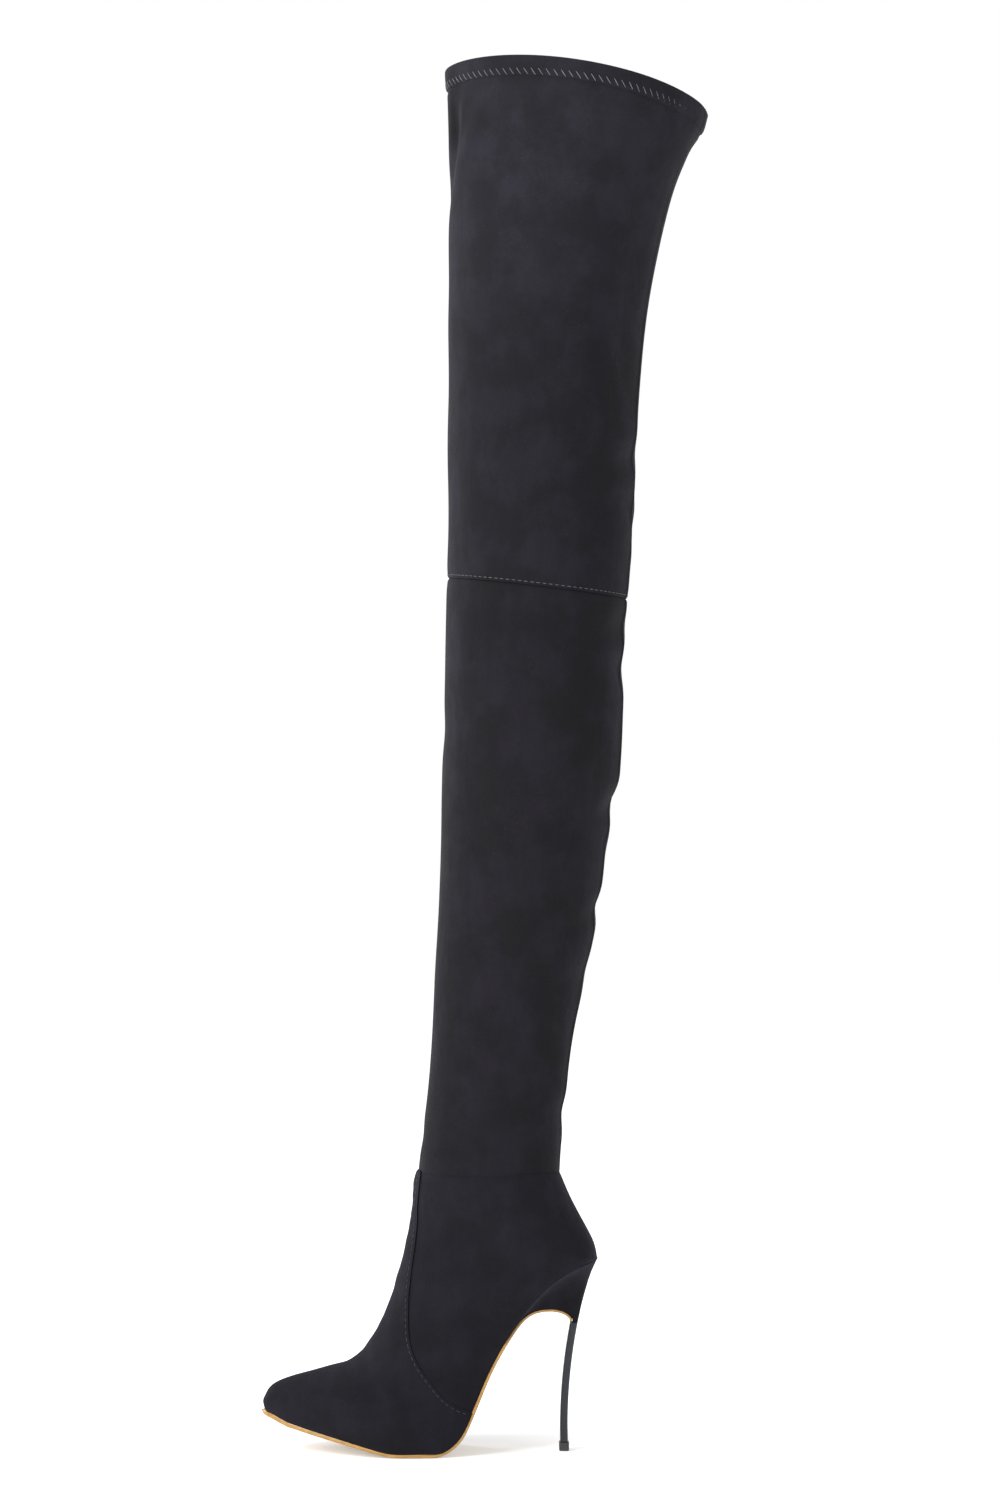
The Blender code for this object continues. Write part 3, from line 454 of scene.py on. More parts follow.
def merged_copy(node, name):
    """New object from a CAD node's mesh, whose loose triangles are merged into quads."""
    piece = bpy.data.objects.new(name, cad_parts[node].data.copy())
    bpy.context.scene.collection.objects.link(piece)
    piece.data.materials.clear()
    activate(piece)
    bpy.ops.mesh.customdata_custom_splitnormals_clear()
    bpy.ops.object.mode_set(mode="EDIT")
    bpy.ops.mesh.select_all(action="SELECT")
    bpy.ops.mesh.remove_doubles(threshold=MERGE_DISTANCE)
    bpy.ops.mesh.tris_convert_to_quads(face_threshold=math.pi, shape_threshold=math.pi)
    bpy.ops.object.mode_set(mode="OBJECT")
    return piece


def apply_modifier(piece, kind, **settings):
    modifier = piece.modifiers.new(kind.title(), kind)
    for name, value in settings.items():
        setattr(modifier, name, value)
    activate(piece)
    bpy.ops.object.modifier_apply(modifier=modifier.name)


def round_edges(piece, width, angle=50.0):
    limit = math.radians(angle)
    apply_modifier(piece, "BEVEL", width=width, segments=2, limit_method="ANGLE", angle_limit=limit)


def broad_normals(piece):
    """Direction of each corner, in which large faces count more than small ones."""
    sums = np.zeros((len(piece.data.vertices), 3))
    for face in piece.data.polygons:
        sums[list(face.vertices)] += np.array(face.normal) * face.area
    return sums / np.linalg.norm(sums, axis=1)[:, None]


def smooth_form(piece, levels):
    """Subdivides a piece whose corners are first moved outwards, so that its skin doesn't shrink."""
    passes = 2
    corners, outward = read_points(piece), broad_normals(piece)
    for _ in range(passes):
        mesh = piece.data.copy()
        trial = bpy.data.objects.new("trial", mesh)
        bpy.context.scene.collection.objects.link(trial)
        apply_modifier(trial, "SUBSURF", levels=1, render_levels=1)
        short = np.sum((corners - read_points(trial)[:len(corners)]) * outward, axis=1)
        write_points(piece, read_points(piece) + outward * short[:, None])
        bpy.data.objects.remove(trial)
        bpy.data.meshes.remove(mesh)
    apply_modifier(piece, "SUBSURF", levels=levels, render_levels=levels)


def shade(piece, angle=40.0):
    activate(piece)
    bpy.ops.object.shade_smooth_by_angle(angle=math.radians(angle))
    apply_modifier(piece, "WEIGHTED_NORMAL", keep_sharp=True)


def read_points(piece):
    points = np.empty(len(piece.data.vertices) * 3)
    piece.data.vertices.foreach_get("co", points)
    return points.reshape(-1, 3)


def write_points(piece, points):
    piece.data.vertices.foreach_set("co", np.ascontiguousarray(points, np.float32).ravel())
    piece.data.update()


def line_inside(piece, outside, inside):
    """Gives the outer skin one material and the faces that look mostly at other walls a second one."""
    lift, slanted, most_blocked = 0.001, 8, 4
    piece.data.materials.append(outside)
    piece.data.materials.append(inside)
    for face in piece.data.polygons:
        start = face.center + face.normal * lift
        beside = face.normal.orthogonal().normalized()
        views = [face.normal]
        for i in range(slanted):
            views.append(face.normal + Matrix.Rotation(i * math.tau / slanted, 3, face.normal) @ beside)
        blocked = sum(piece.ray_cast(start, view)[0] for view in views)
        face.material_index = int(blocked > most_blocked)


def finish_piece(piece, nodes=()):
    """Lets a piece ride on the boot, in place of its CAD nodes."""
    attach(piece, "root")
    if nodes:
        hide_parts(*nodes)


# The leg's own coordinates

class Leg:
    """Front, back and half width of the leg at each height, read from a shaft's coarse mesh."""

    def __init__(self, piece):
        corners = sorted(piece.data.vertices, key=lambda v: v.co.z)
        middle = sum(v.co.x for v in corners) / len(corners)
        beside = 0.004
        on_middle = [v for v in corners if abs(v.co.y) < MIDDLE_PLANE]
        front = [v.co for v in on_middle if v.normal.x < 0.0 and v.co.x < middle]
        back = [v.co for v in on_middle if v.normal.x > 0.0 and v.co.x > middle]
        self.front_heights, self.fronts = [p.z for p in front], [p.x for p in front]
        self.back_heights, self.backs = [p.z for p in back], [p.x for p in back]
        wide = [v.co for v in corners if v.normal.y * v.co.y > 0.0]
        wide = [p for p in wide if abs(p.x - self.middle(p.z)) < beside]
        self.wide_heights, self.widths = [p.z for p in wide], [abs(p.y) for p in wide]

    def middle(self, height):
        front = np.interp(height, self.front_heights, self.fronts)
        return (front + np.interp(height, self.back_heights, self.backs)) / 2.0

    def half_depth(self, height):
        return self.middle(height) - np.interp(height, self.front_heights, self.fronts)

    def half_width(self, height):
        return np.interp(height, self.wide_heights, self.widths)

    def side(self, points):
        """Side of each point in radians."""
        x, y, z = points.T
        return np.arctan2(-y / self.half_width(z), (self.middle(z) - x) / self.half_depth(z))

    def outward(self, points):
        """Level direction away from the leg at each point."""
        x, y, z = points.T
        away = np.stack([
            (x - self.middle(z)) / self.half_depth(z) ** 2, y / self.half_width(z) ** 2, np.zeros(len(z))
        ], axis=1)
        return away / np.linalg.norm(away, axis=1)[:, None]

    def spot(self, side, height):
        """Point of the smooth oval at a side in degrees and a height."""
        angle = math.radians(side)
        return Vector((
            self.middle(height) - self.half_depth(height) * math.cos(angle),
            -self.half_width(height) * math.sin(angle),
            height,
        ))


def ripple(across):
    """Cross section of a fold: 1 in its middle, with low banks of the other sign beside it."""
    return (1.0 - 0.5 * across ** 2) * np.exp(-across ** 2 / 2.0)


def fold_shift(leg, points, folds):
    """How far the folds push each point outwards."""
    side, heights = leg.side(points), points[:, 2]
    radius = (leg.half_depth(heights) + leg.half_width(heights)) / 2.0
    shift = np.zeros(len(points))
    for fold in folds:
        turn = (side - math.radians(fold.side) + math.pi) % (2.0 * math.pi) - math.pi
        around, up = turn * radius, heights - fold.height
        tilt = math.radians(fold.tilt)
        along = around * math.cos(tilt) + up * math.sin(tilt)
        across = up * math.cos(tilt) - around * math.sin(tilt)
        shift += fold.depth * np.exp(-(along / fold.run) ** 2) * ripple(across / fold.across)
    return shift


def slow_waves(points, size, height):
    """Slow unevenness with waves about size across."""
    return np.array([noise.noise(Vector(p) / size) for p in points]) * height


def back_seam_side(height):
    """Side of the back seam: at the back of the ankle, and a little to the outer side above."""
    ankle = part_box("shaft_lower")[0].z
    share = np.clip((height - ankle) / SEAM_SWING, 0.0, 1.0)
    return ANKLE_SEAM_SIDE + (BACK_SEAM_SIDE - ANKLE_SEAM_SIDE) * share


def slide_seam_column(piece, leg):
    """Moves the column of corners nearest the back seam onto it, so that the seam is a crisp line."""
    column, tolerance = 170.0, 2.0
    points = read_points(piece)
    sides = np.degrees(leg.side(points)) % 360.0
    for i in np.nonzero(abs(sides - column) < tolerance)[0]:
        height = points[i, 2]
        old = leg.spot(column, height)
        new = leg.spot(float(back_seam_side(height)), height)
        points[i] += np.array(new - old)
    write_points(piece, points)


def seam_shift(leg, points, depth):
    """Narrow valley along the back seam, with slightly raised lips."""
    valley, spread, lip_height, lip_place = 0.0009, 1.3, 0.4, 2.6
    heights = points[:, 2]
    turn = np.degrees(leg.side(points)) % 360.0 - back_seam_side(heights)
    across = np.radians(turn) * leg.half_depth(heights) / valley
    lips = lip_height * np.exp(-(abs(across) - lip_place) ** 2)
    return -depth * (ripple(across / spread) - lips)


def rim_top(piece, leg):
    """Height of a leg piece's upper rim as a function of the side in degrees."""
    points = read_points(piece)
    sides = np.degrees(leg.side(points)) % 360.0
    bins = 72
    tops = [points[(sides * bins / 360.0).astype(int) == i, 2].max() for i in range(bins)]
    middles = [(i + 0.5) * 360.0 / bins for i in range(bins)]
    return lambda side: np.interp(np.mod(side, 360.0), middles, tops, period=360.0)


def held_by_rim(below):
    """Share of a fold that is left: the seam or hem at the upper rim holds the cloth flat."""
    reach, least = 0.024, 0.20
    return least + (1.0 - least) * np.clip(below / reach, 0.0, 1.0)


def tuck_into_foot(piece):
    """Carries the leg's lower end down into the foot's wall. A piece that ends above it stays."""
    tuck, level = 0.002, 0.0006
    points = read_points(piece)
    points[points[:, 2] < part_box("shaft_lower")[0].z + level, 2] -= tuck
    write_points(piece, points)


# Suede pieces of the leg

def build_leg_piece(name, node, folds, suede, hem_pinch=0.0):
    """Shaft as stretched suede with its folds, back seam and knee pinch; gives the leg's coordinates."""
    wave_size, ankle_run = 0.05, 0.02
    scene = bpy.context.scene
    sizes, colours = scene.boot_sizes, scene.boot_colours
    piece = merged_copy(node, name)
    leg = Leg(piece)
    slide_seam_column(piece, leg)
    tuck_into_foot(piece)
    round_edges(piece, sizes.edge_round)
    line_inside(piece, suede, knitted_lining(colours.lining))
    smooth_form(piece, 3)
    points = read_points(piece)
    below = rim_top(piece, leg)(np.degrees(leg.side(points))) - points[:, 2]
    shift = fold_shift(leg, points, folds) * held_by_rim(below)
    shift += seam_shift(leg, points, sizes.seam_depth)
    shift += knee_pinch(leg, points, sizes.seam_pinch)
    shift += hem_groove(below - sizes.hem_height, hem_pinch)
    shift += slow_waves(points, wave_size, sizes.unevenness)
    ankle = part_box("shaft_lower")[0].z
    shift = sizes.nap + shift * np.clip((points[:, 2] - ankle) / ankle_run, 0.0, 1.0)
    write_points(piece, points + leg.outward(points) * shift[:, None])
    shade(piece)
    finish_piece(piece, [node])
    return piece, leg


def hem_groove(below_hem, depth):
    """Groove just under the zigzag, where the folded hem ends."""
    under, reach = 0.0010, 0.0016
    return -depth * np.exp(-((below_hem - under) / reach) ** 2)


def knee_line(side):
    """Height of the knee seam at a side in radians, read from the lower shaft's rim."""
    rim_front, rim_back = knee_rim_heights()
    return rim_back + (rim_front - rim_back) * (1.0 + np.cos(side)) / 2.0


def knee_rim_heights():
    """Heights of the knee seam at the shin and at the back."""
    corners = [v.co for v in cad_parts["shaft_lower"].data.vertices if abs(v.co.y) < MIDDLE_PLANE]
    middle = sum(p.x for p in corners) / len(corners)
    front = max(p.z for p in corners if p.x < middle)
    back = max(p.z for p in corners if p.x > middle)
    return front, back


def knee_pinch(leg, points, depth):
    """The knee seam draws the leg in over a few millimetres on both sides, and is a groove itself."""
    reach, groove, groove_share = 0.006, 0.0010, 0.55
    distance = points[:, 2] - knee_line(leg.side(points))
    broad, narrow = np.exp(-(distance / reach) ** 2), np.exp(-(distance / groove) ** 2)
    return -depth * (broad * (1.0 - groove_share) + narrow * groove_share)


# Stitches

def model_stitch(length, thread):
    """One stitch: a strand that narrows and dips into the cloth at both ends."""
    dip, narrowing = 0.45, 0.3
    bpy.ops.object.select_all(action="DESELECT")
    bpy.ops.mesh.primitive_cylinder_add(
        vertices=6, radius=thread / 2.0, depth=length, rotation=(0.0, math.pi / 2.0, 0.0)
    )
    stitch = bpy.context.object
    stitch.name = "stitch"
    bpy.ops.object.transform_apply(location=True, rotation=True, scale=True)
    bpy.ops.object.mode_set(mode="EDIT")
    bpy.ops.mesh.select_all(action="SELECT")
    bpy.ops.mesh.bisect(plane_co=(0.0, 0.0, 0.0), plane_no=(1.0, 0.0, 0.0))
    bpy.ops.object.mode_set(mode="OBJECT")
    for vert in stitch.data.vertices:
        share = abs(vert.co.x) / (length / 2.0)
        vert.co.z -= thread * dip * share ** 2
        vert.co.y *= 1.0 - narrowing * share
    return stitch


def lay_stitches(name, ends, thread, material):
    """Joins copies of one stitch, laid from start to end of each (start, end, outward), into a piece."""
    rise = thread * 0.25
    length = sum((end - start).length for start, end, _ in ends) / len(ends)
    stitch = model_stitch(length, thread)
    copies = []
    for i, (start, end, outward) in enumerate(ends):
        run = end - start
        along = run.normalized()
        up = (outward - along * outward.dot(along)).normalized()
        across = up.cross(along)
        turn = Matrix((along * run.length / length, across, up)).transposed().to_4x4()
        mesh = stitch.data.copy()
        mesh.transform(Matrix.Translation((start + end) / 2.0 + up * rise) @ turn)
        copy = bpy.data.objects.new(f"{name}_{i}", mesh)
        bpy.context.scene.collection.objects.link(copy)
        copies.append(copy)
    bpy.data.objects.remove(stitch)
    bpy.ops.object.select_all(action="DESELECT")
    for copy in copies:
        copy.select_set(True)
    bpy.context.view_layer.objects.active = copies[0]
    bpy.ops.object.join()
    piece = bpy.context.object
    piece.name = name
    piece.data.materials.append(material)
    shade(piece, 60.0)
    finish_piece(piece)


def leg_surface(piece, leg, side, height):
    """Point and outward direction of a leg piece's skin at a side in degrees and a height."""
    reach = 0.05
    spot = leg.spot(side, height)
    away = spot - Vector((float(leg.middle(height)), 0.0, height))
    away.normalize()
    start = spot + away * reach
    hit, place, normal, _ = piece.ray_cast(start, -away)
    if not hit:
        raise RuntimeError(f"{piece.name} has no skin at side {side:.0f}, height {height:.3f}")
    return place, normal


def even_sides(leg, level, pitch):
    """Sides from 0 to 360 at equal distances along a line round the leg, whose height level gives."""
    count = 720
    sides = [i * 360.0 / count for i in range(count + 1)]
    places = [leg.spot(side, level(side)) for side in sides]
    travelled = [0.0]
    for i in range(count):
        travelled.append(travelled[-1] + (places[i + 1] - places[i]).length)
    steps = round(travelled[-1] / pitch)
    return [float(np.interp(i * travelled[-1] / steps, travelled, sides)) for i in range(steps + 1)]


# Foot and vamp

def foot_back_seam(points, normals, depth):
    """Valley down the middle of the counter, where the quarters are sewn together."""
    valley, faces_back, past_seat = 0.0012, 0.3, 0.002
    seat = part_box("heel_block")[1].z
    behind = (normals[:, 0] > faces_back) & (points[:, 2] > seat - past_seat)
    return np.where(behind, -depth * ripple(points[:, 1] / valley), 0.0)


def seat_bead(points, directions, depth):
    """Fills the corner along the sides of the seat line, where the foot and the heel block meet."""
    reach, faces_up = 0.004, 0.7
    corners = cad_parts["heel_block"].data.vertices
    top = sorted((v.co.x, v.co.z) for v in corners if v.normal.z > faces_up)
    seat = np.interp(points[:, 0], [x for x, _ in top], [z for _, z in top])
    share = np.where(points[:, 0] > top[0][0], 1.0 - np.clip(directions[:, 0], 0.0, 1.0), 0.0)
    return depth * share * np.exp(-abs(points[:, 2] - seat) / reach)


def seat_nap(points, nap):
    """Nap of the heel block, which thins out below the seat, where the cover is pulled tight."""
    seat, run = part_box("heel_block")[1].z, 0.030
    return nap * np.clip(1.0 - (seat - points[:, 2]) / run, 0.0, 1.0)


def counter_bulge(points, directions, depth):
    """Swelling of the stiffened counter at the back, where it turns under to the heel block."""
    height, reach = 0.1225, 0.0075
    return depth * np.clip(directions[:, 0], 0.0, 1.0) * np.exp(-((points[:, 2] - height) / reach) ** 2)


def level_directions(normals):
    """Level direction beside each normal, or none where a normal is nearly upright."""
    least = 0.3
    flat = normals * (1.0, 1.0, 0.0)
    length = np.linalg.norm(flat, axis=1)[:, None]
    return np.where(length > least, flat / np.maximum(length, least), 0.0)


def skin_corners(piece):
    """True for each corner of a lined piece's outer skin."""
    outer = np.zeros(len(piece.data.vertices), bool)
    for face in piece.data.polygons:
        if face.material_index == 0:
            outer[list(face.vertices)] = True
    return outer


def foot_suede(colours):
    return faux_suede("Faux suede of the foot", colours.foot, FOOT_SHEEN)


def build_foot():
    """Suede foot, whose nap thins at the toe, with a shallow seam down the back."""
    toe_run, counter_seam = 0.080, 0.5
    scene = bpy.context.scene
    sizes, colours = scene.boot_sizes, scene.boot_colours
    foot = merged_copy("upper_foot", "foot_quarters")
    round_edges(foot, sizes.seat_round, angle=60.0)
    line_inside(foot, foot_suede(colours), knitted_lining(colours.lining))
    smooth_form(foot, 2)
    points = read_points(foot)
    normals = np.array([v.normal for v in foot.data.vertices])
    outward = np.where(normals[:, 2:] < 0.0, level_directions(normals), normals)
    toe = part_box("upper_foot")[0].x
    shift = sizes.nap * np.clip((points[:, 0] - toe) / toe_run, 0.0, 1.0)
    shift += foot_back_seam(points, outward, sizes.seam_depth * counter_seam)
    shift += seat_bead(points, outward, sizes.seat_bead)
    shift += counter_bulge(points, outward, sizes.counter_bulge)
    shift *= skin_corners(foot)
    write_points(foot, points + outward * shift[:, None])
    shade(foot)
    finish_piece(foot, ["upper_foot"])
    return foot


def smooth_line(points, steps):
    """Points of a smooth curve through a list of (X, Z) pairs."""
    line = []
    for i in range(len(points) - 1):
        before = Vector(points[max(i - 1, 0)])
        start, end = Vector(points[i]), Vector(points[i + 1])
        after = Vector(points[min(i + 2, len(points) - 1)])
        for step in range(steps):
            t = step / steps
            line.append(0.5 * (
                2.0 * start + (end - before) * t + (2.0 * before - 5.0 * start + 4.0 * end - after) * t ** 2
                + (3.0 * start - before - 3.0 * end + after) * t ** 3
            ))
    line.append(Vector(points[-1]))
    return line


def vamp_region():
    """Closed block over all that lies in front of the vamp's back edge."""
    reach, half_width, past_sole = 0.06, 0.08, 0.03
    edge = smooth_line(VAMP_EDGE, 4)
    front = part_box("vamp")[0].x - reach
    outline = [Vector((edge[0].x, edge[0].y + reach))] + edge + [edge[-1] + Vector((past_sole, -reach))]
    outline += [Vector((front, outline[-1].y)), Vector((front, outline[0].y))]
    mesh = bpy.data.meshes.new("vamp_region")
    mesh.from_pydata([(p.x, -half_width, p.y) for p in outline], [], [range(len(outline))])
    region = bpy.data.objects.new("vamp_region", mesh)
    bpy.context.scene.collection.objects.link(region)
    activate(region)
    bpy.ops.object.mode_set(mode="EDIT")
    bpy.ops.mesh.select_all(action="SELECT")
    bpy.ops.mesh.extrude_region_move(TRANSFORM_OT_translate={"value": (0.0, 2.0 * half_width, 0.0)})
    bpy.ops.mesh.select_all(action="SELECT")
    bpy.ops.mesh.normals_make_consistent(inside=False)
    bpy.ops.object.mode_set(mode="OBJECT")
    return region


def build_vamp(foot):
    """Vamp laid over the foot: the foot's own skin, raised by a step and cut along the vamp's edge."""
    sizes = bpy.context.scene.boot_sizes
    vamp = bpy.data.objects.new("vamp_overlay", foot.data.copy())
    bpy.context.scene.collection.objects.link(vamp)
    activate(vamp)
    bpy.ops.object.mode_set(mode="EDIT")
    bpy.ops.mesh.select_all(action="SELECT")
    bpy.ops.transform.shrink_fatten(value=sizes.vamp_step)
    bpy.ops.object.mode_set(mode="OBJECT")
    region = vamp_region()
    apply_modifier(vamp, "BOOLEAN", operation="INTERSECT", solver="EXACT", object=region)
    bpy.data.objects.remove(region)
    shade(vamp, 50.0)
    finish_piece(vamp, ["vamp"])
    return vamp


# Operators

class BOOT_OT_foot(bpy.types.Operator):
    """Suede foot from the toe round the heel to the ankle, with the vamp laid over it"""

    bl_idname = "boot.foot"
    bl_label = "Foot and vamp"

    def execute(self, context):
        sizes, colours = context.scene.boot_sizes, context.scene.boot_colours
        vamp = build_vamp(build_foot())
        lay_vamp_stitches(vamp, sizes, polyester_thread("Black vamp thread", colours.vamp_thread))
        return {"FINISHED"}


def lay_vamp_stitches(vamp, sizes, material):
    """Row of stitches along the vamp's edge on both sides, wherever the vamp is wide enough."""
    inset, reach = 0.0016, 0.09
    line = smooth_line(VAMP_EDGE, 8)
    travelled = np.cumsum([0.0] + [(b - a).length for a, b in zip(line, line[1:])])

    def place(distance, sign):
        spot = Vector((
            float(np.interp(distance, travelled, [p.x for p in line])),
            float(np.interp(distance, travelled, [p.y for p in line])),
        ))
        i = min(int(np.searchsorted(travelled, distance, side="right")), len(line) - 1)
        along = (line[i] - line[i - 1]).normalized()
        start = Vector((spot.x + along.y * inset, sign * reach, spot.y - along.x * inset))
        return vamp.ray_cast(start, Vector((0.0, -sign, 0.0)))

    pitch = sizes.stitch + sizes.stitch_gap
    ends = []
    for sign in (-1.0, 1.0):
        for i in range(int(travelled[-1] / pitch)):
            hit, start, outward, _ = place(i * pitch, sign)
            hit_too, end, _, _ = place(i * pitch + sizes.stitch, sign)
            if hit and hit_too and (end - start).length < 2.0 * sizes.stitch:
                ends.append((start, end, outward))
    lay_stitches("vamp_stitches", ends, sizes.thread, material)


class BOOT_OT_leg(bpy.types.Operator):
    """Suede tube from the ankle seam to the knee seam"""

    bl_idname = "boot.leg"
    bl_label = "Lower leg"

    def execute(self, context):
        suede = faux_suede("Faux suede of the leg", context.scene.boot_colours.leg, LEG_SHEEN)
        build_leg_piece("lower_leg", "shaft_lower", LEG_FOLDS, suede)
        return {"FINISHED"}


class BOOT_OT_thigh(bpy.types.Operator):
    """Suede tube from the knee seam to the collar, with the zigzag of its hem and the knee stitches"""

    bl_idname = "boot.thigh"
    bl_label = "Thigh and its stitches"

    def execute(self, context):
        sizes, colours = context.scene.boot_sizes, context.scene.boot_colours
        suede = faux_suede("Faux suede of the thigh", colours.thigh, LEG_SHEEN, KNEE_PAINTED_SHADE, HEM_PAINTED_SHADE)
        thigh, leg = build_leg_piece("thigh_tube", "shaft_upper", THIGH_FOLDS, suede, sizes.hem_pinch)
        lay_hem_zigzag(thigh, leg, sizes, polyester_thread("Grey hem thread", colours.hem_thread))
        lay_knee_stitches(thigh, leg, sizes, polyester_thread("Grey seam thread", colours.seam_thread))
        return {"FINISHED"}


def lay_hem_zigzag(thigh, leg, sizes, material):
    """Zigzag of single stitches above the hem's lower edge; every other stroke is pulled into the nap.

    The nap covers all of them more and more towards the back.
    """
    top = rim_top(thigh, leg)
    raised, sunk = sizes.thread * 0.2, sizes.thread * -0.4
    covered, cover_start, cover_run = sizes.thread * 0.55, 100.0, 45.0

    def place(side, drop):
        return leg_surface(thigh, leg, side, top(side) - drop)

    sides = even_sides(leg, lambda side: top(side) - sizes.hem_height, sizes.zigzag_pitch)
    low = sizes.hem_height
    high = low - sizes.zigzag_height
    ends = []
    for side, following in zip(sides, sides[1:]):
        peak = (side + following) / 2.0
        strokes = (((side, low), (peak, high), sunk), ((peak, high), (following, low), raised))
        for first, last, lift in strokes:
            start, outward = place(*first)
            end, _ = place(*last)
            turned = 180.0 - abs(side - 180.0)
            cover = covered * min(max((turned - cover_start) / cover_run, 0.0), 1.0)
            ends.append((start + outward * (lift - cover), end + outward * (lift - cover), outward))
    lay_stitches("hem_zigzag", ends, sizes.thread, material)


def lay_knee_stitches(thigh, leg, sizes, material):
    """Row of stitches just above the knee seam."""
    above = 0.0022

    def level(side):
        return float(knee_line(math.radians(side))) + above

    sides = even_sides(leg, level, sizes.stitch + sizes.stitch_gap)
    share = sizes.stitch / (sizes.stitch + sizes.stitch_gap)
    ends = []
    for side, following in zip(sides, sides[1:]):
        last = side + (following - side) * share
        start, outward = leg_surface(thigh, leg, side, level(side))
        end, _ = leg_surface(thigh, leg, last, level(last))
        ends.append((start, end, outward))
    lay_stitches("knee_stitches", ends, sizes.thread, material)


def flatten_on_floor(piece):
    """Lays what a smooth skin swells below the floor back on it."""
    points = read_points(piece)
    points[:, 2] = np.maximum(points[:, 2], 0.0)
    write_points(piece, points)


def refined_copy(node, name, materials, rounding, levels):
    """Rounded and smoothed copy of a hard CAD piece, in its place."""
    piece = merged_copy(node, name)
    round_edges(piece, rounding)
    smooth_form(piece, levels)
    flatten_on_floor(piece)
    for material in materials:
        piece.data.materials.append(material)
    shade(piece)
    finish_piece(piece, [node])
    return piece


class BOOT_OT_sole(bpy.types.Operator):
    """Tan sole with its painted edge, and the sock over the insole"""

    bl_idname = "boot.sole"
    bl_label = "Sole and insole"

    def execute(self, context):
        rounding, edge_slope = 0.0003, 0.35
        colours = context.scene.boot_colours
        materials = [painted_sole_edge(colours.sole_edge), sole_leather(colours.sole_leather)]
        sole = refined_copy("outsole", "tan_outsole", materials, rounding, 2)
        for face in sole.data.polygons:
            face.material_index = int(abs(face.normal.y) < edge_slope)
        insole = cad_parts["insole"]
        insole.data.materials.clear()
        insole.data.materials.append(insole_sock(colours.lining))
        return {"FINISHED"}


class BOOT_OT_heel(bpy.types.Operator):
    """Covered heel block, metal heel and its top piece"""

    bl_idname = "boot.heel"
    bl_label = "Heel"

    def execute(self, context):
        blade_round, pad_round = 0.0003, 0.0002
        sizes, colours = context.scene.boot_sizes, context.scene.boot_colours
        suede, metal, rubber = foot_suede(colours), gunmetal(colours.metal), heel_rubber(colours.rubber)
        block = refined_copy(
            "heel_block", "covered_heel_block", [suede], sizes.seat_round, 2
        )
        points = read_points(block)
        outward = level_directions(np.array([v.normal for v in block.data.vertices]))
        shift = seat_bead(points, outward, sizes.seat_bead) + seat_nap(points, sizes.nap)
        shift += counter_bulge(points, outward, sizes.counter_bulge)
        write_points(block, points + outward * shift[:, None])
        refined_copy("heel_blade", "metal_heel", [metal], blade_round, 2)
        refined_copy("heel_tip", "heel_top_piece", [rubber], pad_round, 1)
        return {"FINISHED"}


def add_area_light(light, target):
    """White area light that looks at target."""
    lamp = bpy.data.objects.new(light.name, bpy.data.lights.new(light.name, "AREA"))
    lamp.data.shape = "RECTANGLE"
    lamp.data.size, lamp.data.size_y = light.size
    lamp.data.energy = light.power
    lamp.location = light.place
    lamp.rotation_euler = (Vector(target) - Vector(light.place)).to_track_quat("-Z", "Y").to_euler()
    bpy.context.scene.collection.objects.link(lamp)


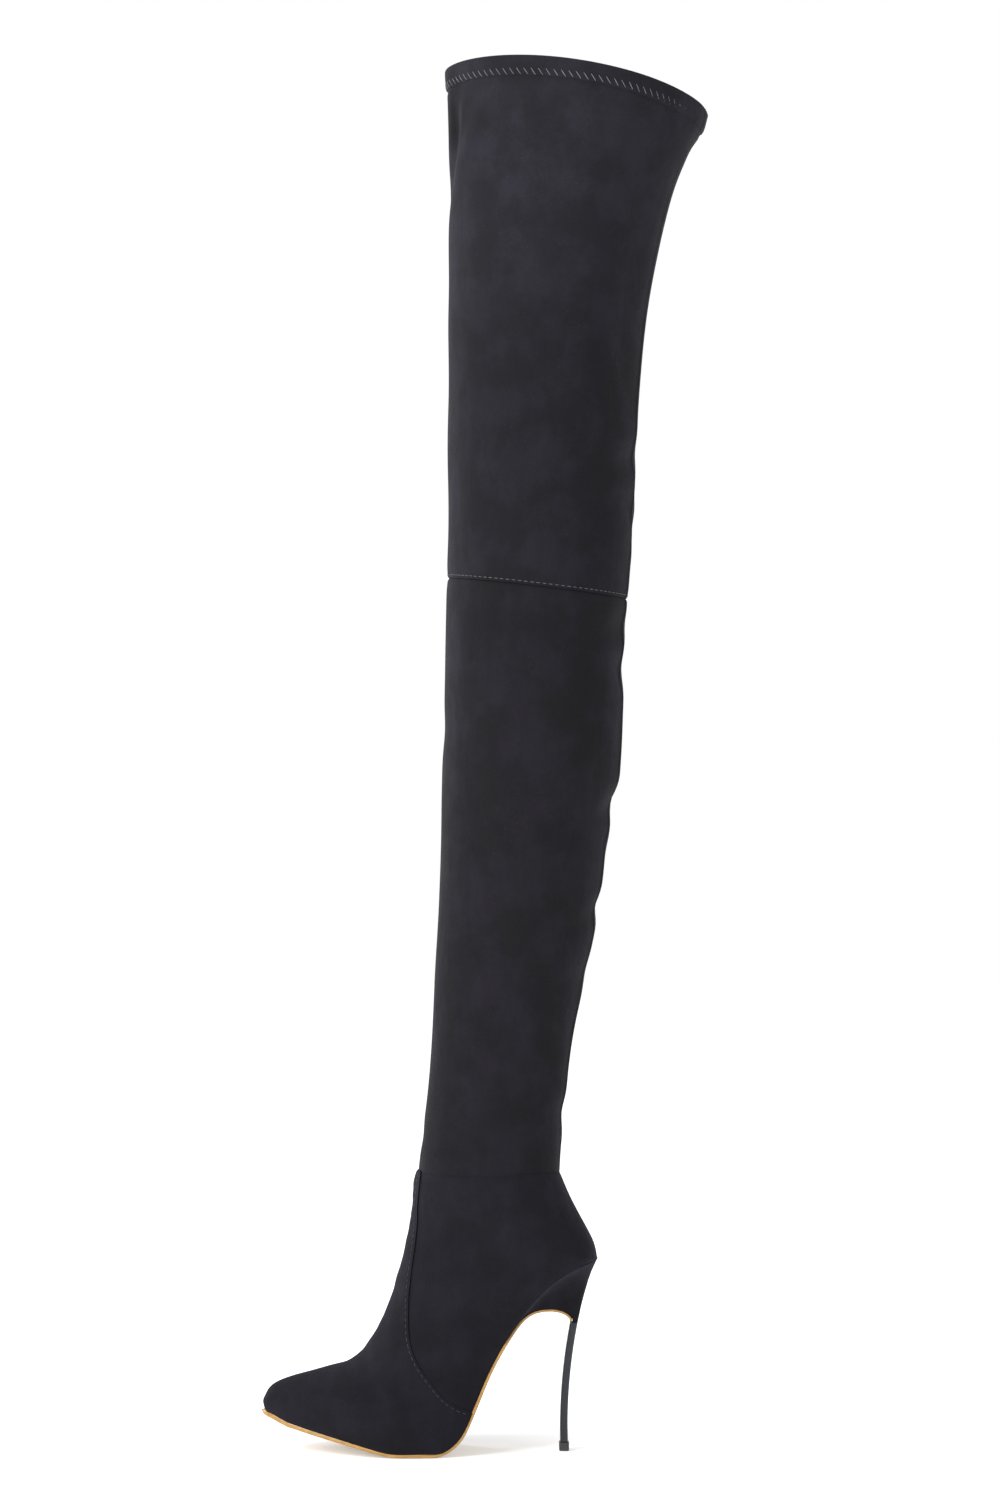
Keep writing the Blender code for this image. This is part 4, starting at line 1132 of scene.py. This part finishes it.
class BOOT_OT_stage(bpy.types.Operator):
    """Seamless paper floor, soft lights and the camera at the outer side of the boot"""

    bl_idname = "boot.stage"
    bl_label = "Floor, lights and camera"

    def execute(self, context):
        leg_middle = (0.06, 0.0, 0.45)
        self.add_floor(context.scene.boot_colours.floor)
        for light in LIGHTS:
            add_area_light(light, leg_middle)
        self.add_room(context.scene)
        self.add_camera(context.scene)
        return {"FINISHED"}

    def add_floor(self, colour):
        floor_size = 12.0
        bpy.ops.object.select_all(action="DESELECT")
        bpy.ops.mesh.primitive_plane_add(size=floor_size, location=(0.0, 0.0, 0.0))
        floor = bpy.context.object
        floor.name = "seamless_floor"
        floor.data.materials.append(studio_paper(colour))

    def add_room(self, scene):
        """White room: it lights the boot softly and is seen as pure white behind it."""
        room_light = 0.52
        world = bpy.data.worlds.new("Studio")
        scene.world = world
        world.use_nodes = True
        tree = world.node_tree
        background = tree.nodes["Background"]
        background.inputs["Color"].default_value = linear("#FFFFFF")
        seen = add_node(tree, "ShaderNodeLightPath").outputs["Is Camera Ray"]
        tree.links.new(ramp(tree, seen, 0.0, 1.0, room_light, 1.0), background.inputs["Strength"])
        scene.view_settings.view_transform = "Standard"

    def add_camera(self, scene):
        """Level camera at the outer side of the boot, which fills the photo's upright frame."""
        lens, sensor, place = 114.3, 36.0, (0.0535, -3.0, 0.441)
        camera = bpy.data.objects.new("camera", bpy.data.cameras.new("camera"))
        camera.data.lens = lens
        camera.data.sensor_width = sensor
        camera.location = place
        camera.rotation_euler = (math.pi / 2.0, 0.0, 0.0)
        scene.collection.objects.link(camera)
        scene.camera = camera


STEPS = (BOOT_OT_foot, BOOT_OT_leg, BOOT_OT_thigh, BOOT_OT_sole, BOOT_OT_heel, BOOT_OT_stage)


class BOOT_PT_panel(bpy.types.Panel):
    """Lists the boot's sizes, colours and steps"""

    bl_idname = "BOOT_PT_panel"
    bl_label = "Thigh High Boot"
    bl_space_type = "VIEW_3D"
    bl_region_type = "UI"
    bl_category = "Boot"

    def draw(self, context):
        for group in (context.scene.boot_sizes, context.scene.boot_colours):
            box = self.layout.box()
            for name in group.__annotations__:
                box.prop(group, name)
        for step in STEPS:
            self.layout.operator(step.bl_idname)


CLASSES = (BootSizes, BootColours, *STEPS, BOOT_PT_panel)


def register():
    for item in CLASSES:
        bpy.utils.register_class(item)
    bpy.types.Scene.boot_sizes = bpy.props.PointerProperty(type=BootSizes)
    bpy.types.Scene.boot_colours = bpy.props.PointerProperty(type=BootColours)


def unregister():
    del bpy.types.Scene.boot_colours
    del bpy.types.Scene.boot_sizes
    for item in reversed(CLASSES):
        bpy.utils.unregister_class(item)


def main():
    register()
    bpy.ops.boot.foot()
    bpy.ops.boot.leg()
    bpy.ops.boot.thigh()
    bpy.ops.boot.sole()
    bpy.ops.boot.heel()
    bpy.ops.boot.stage()


if __name__ == "__main__":
    main()
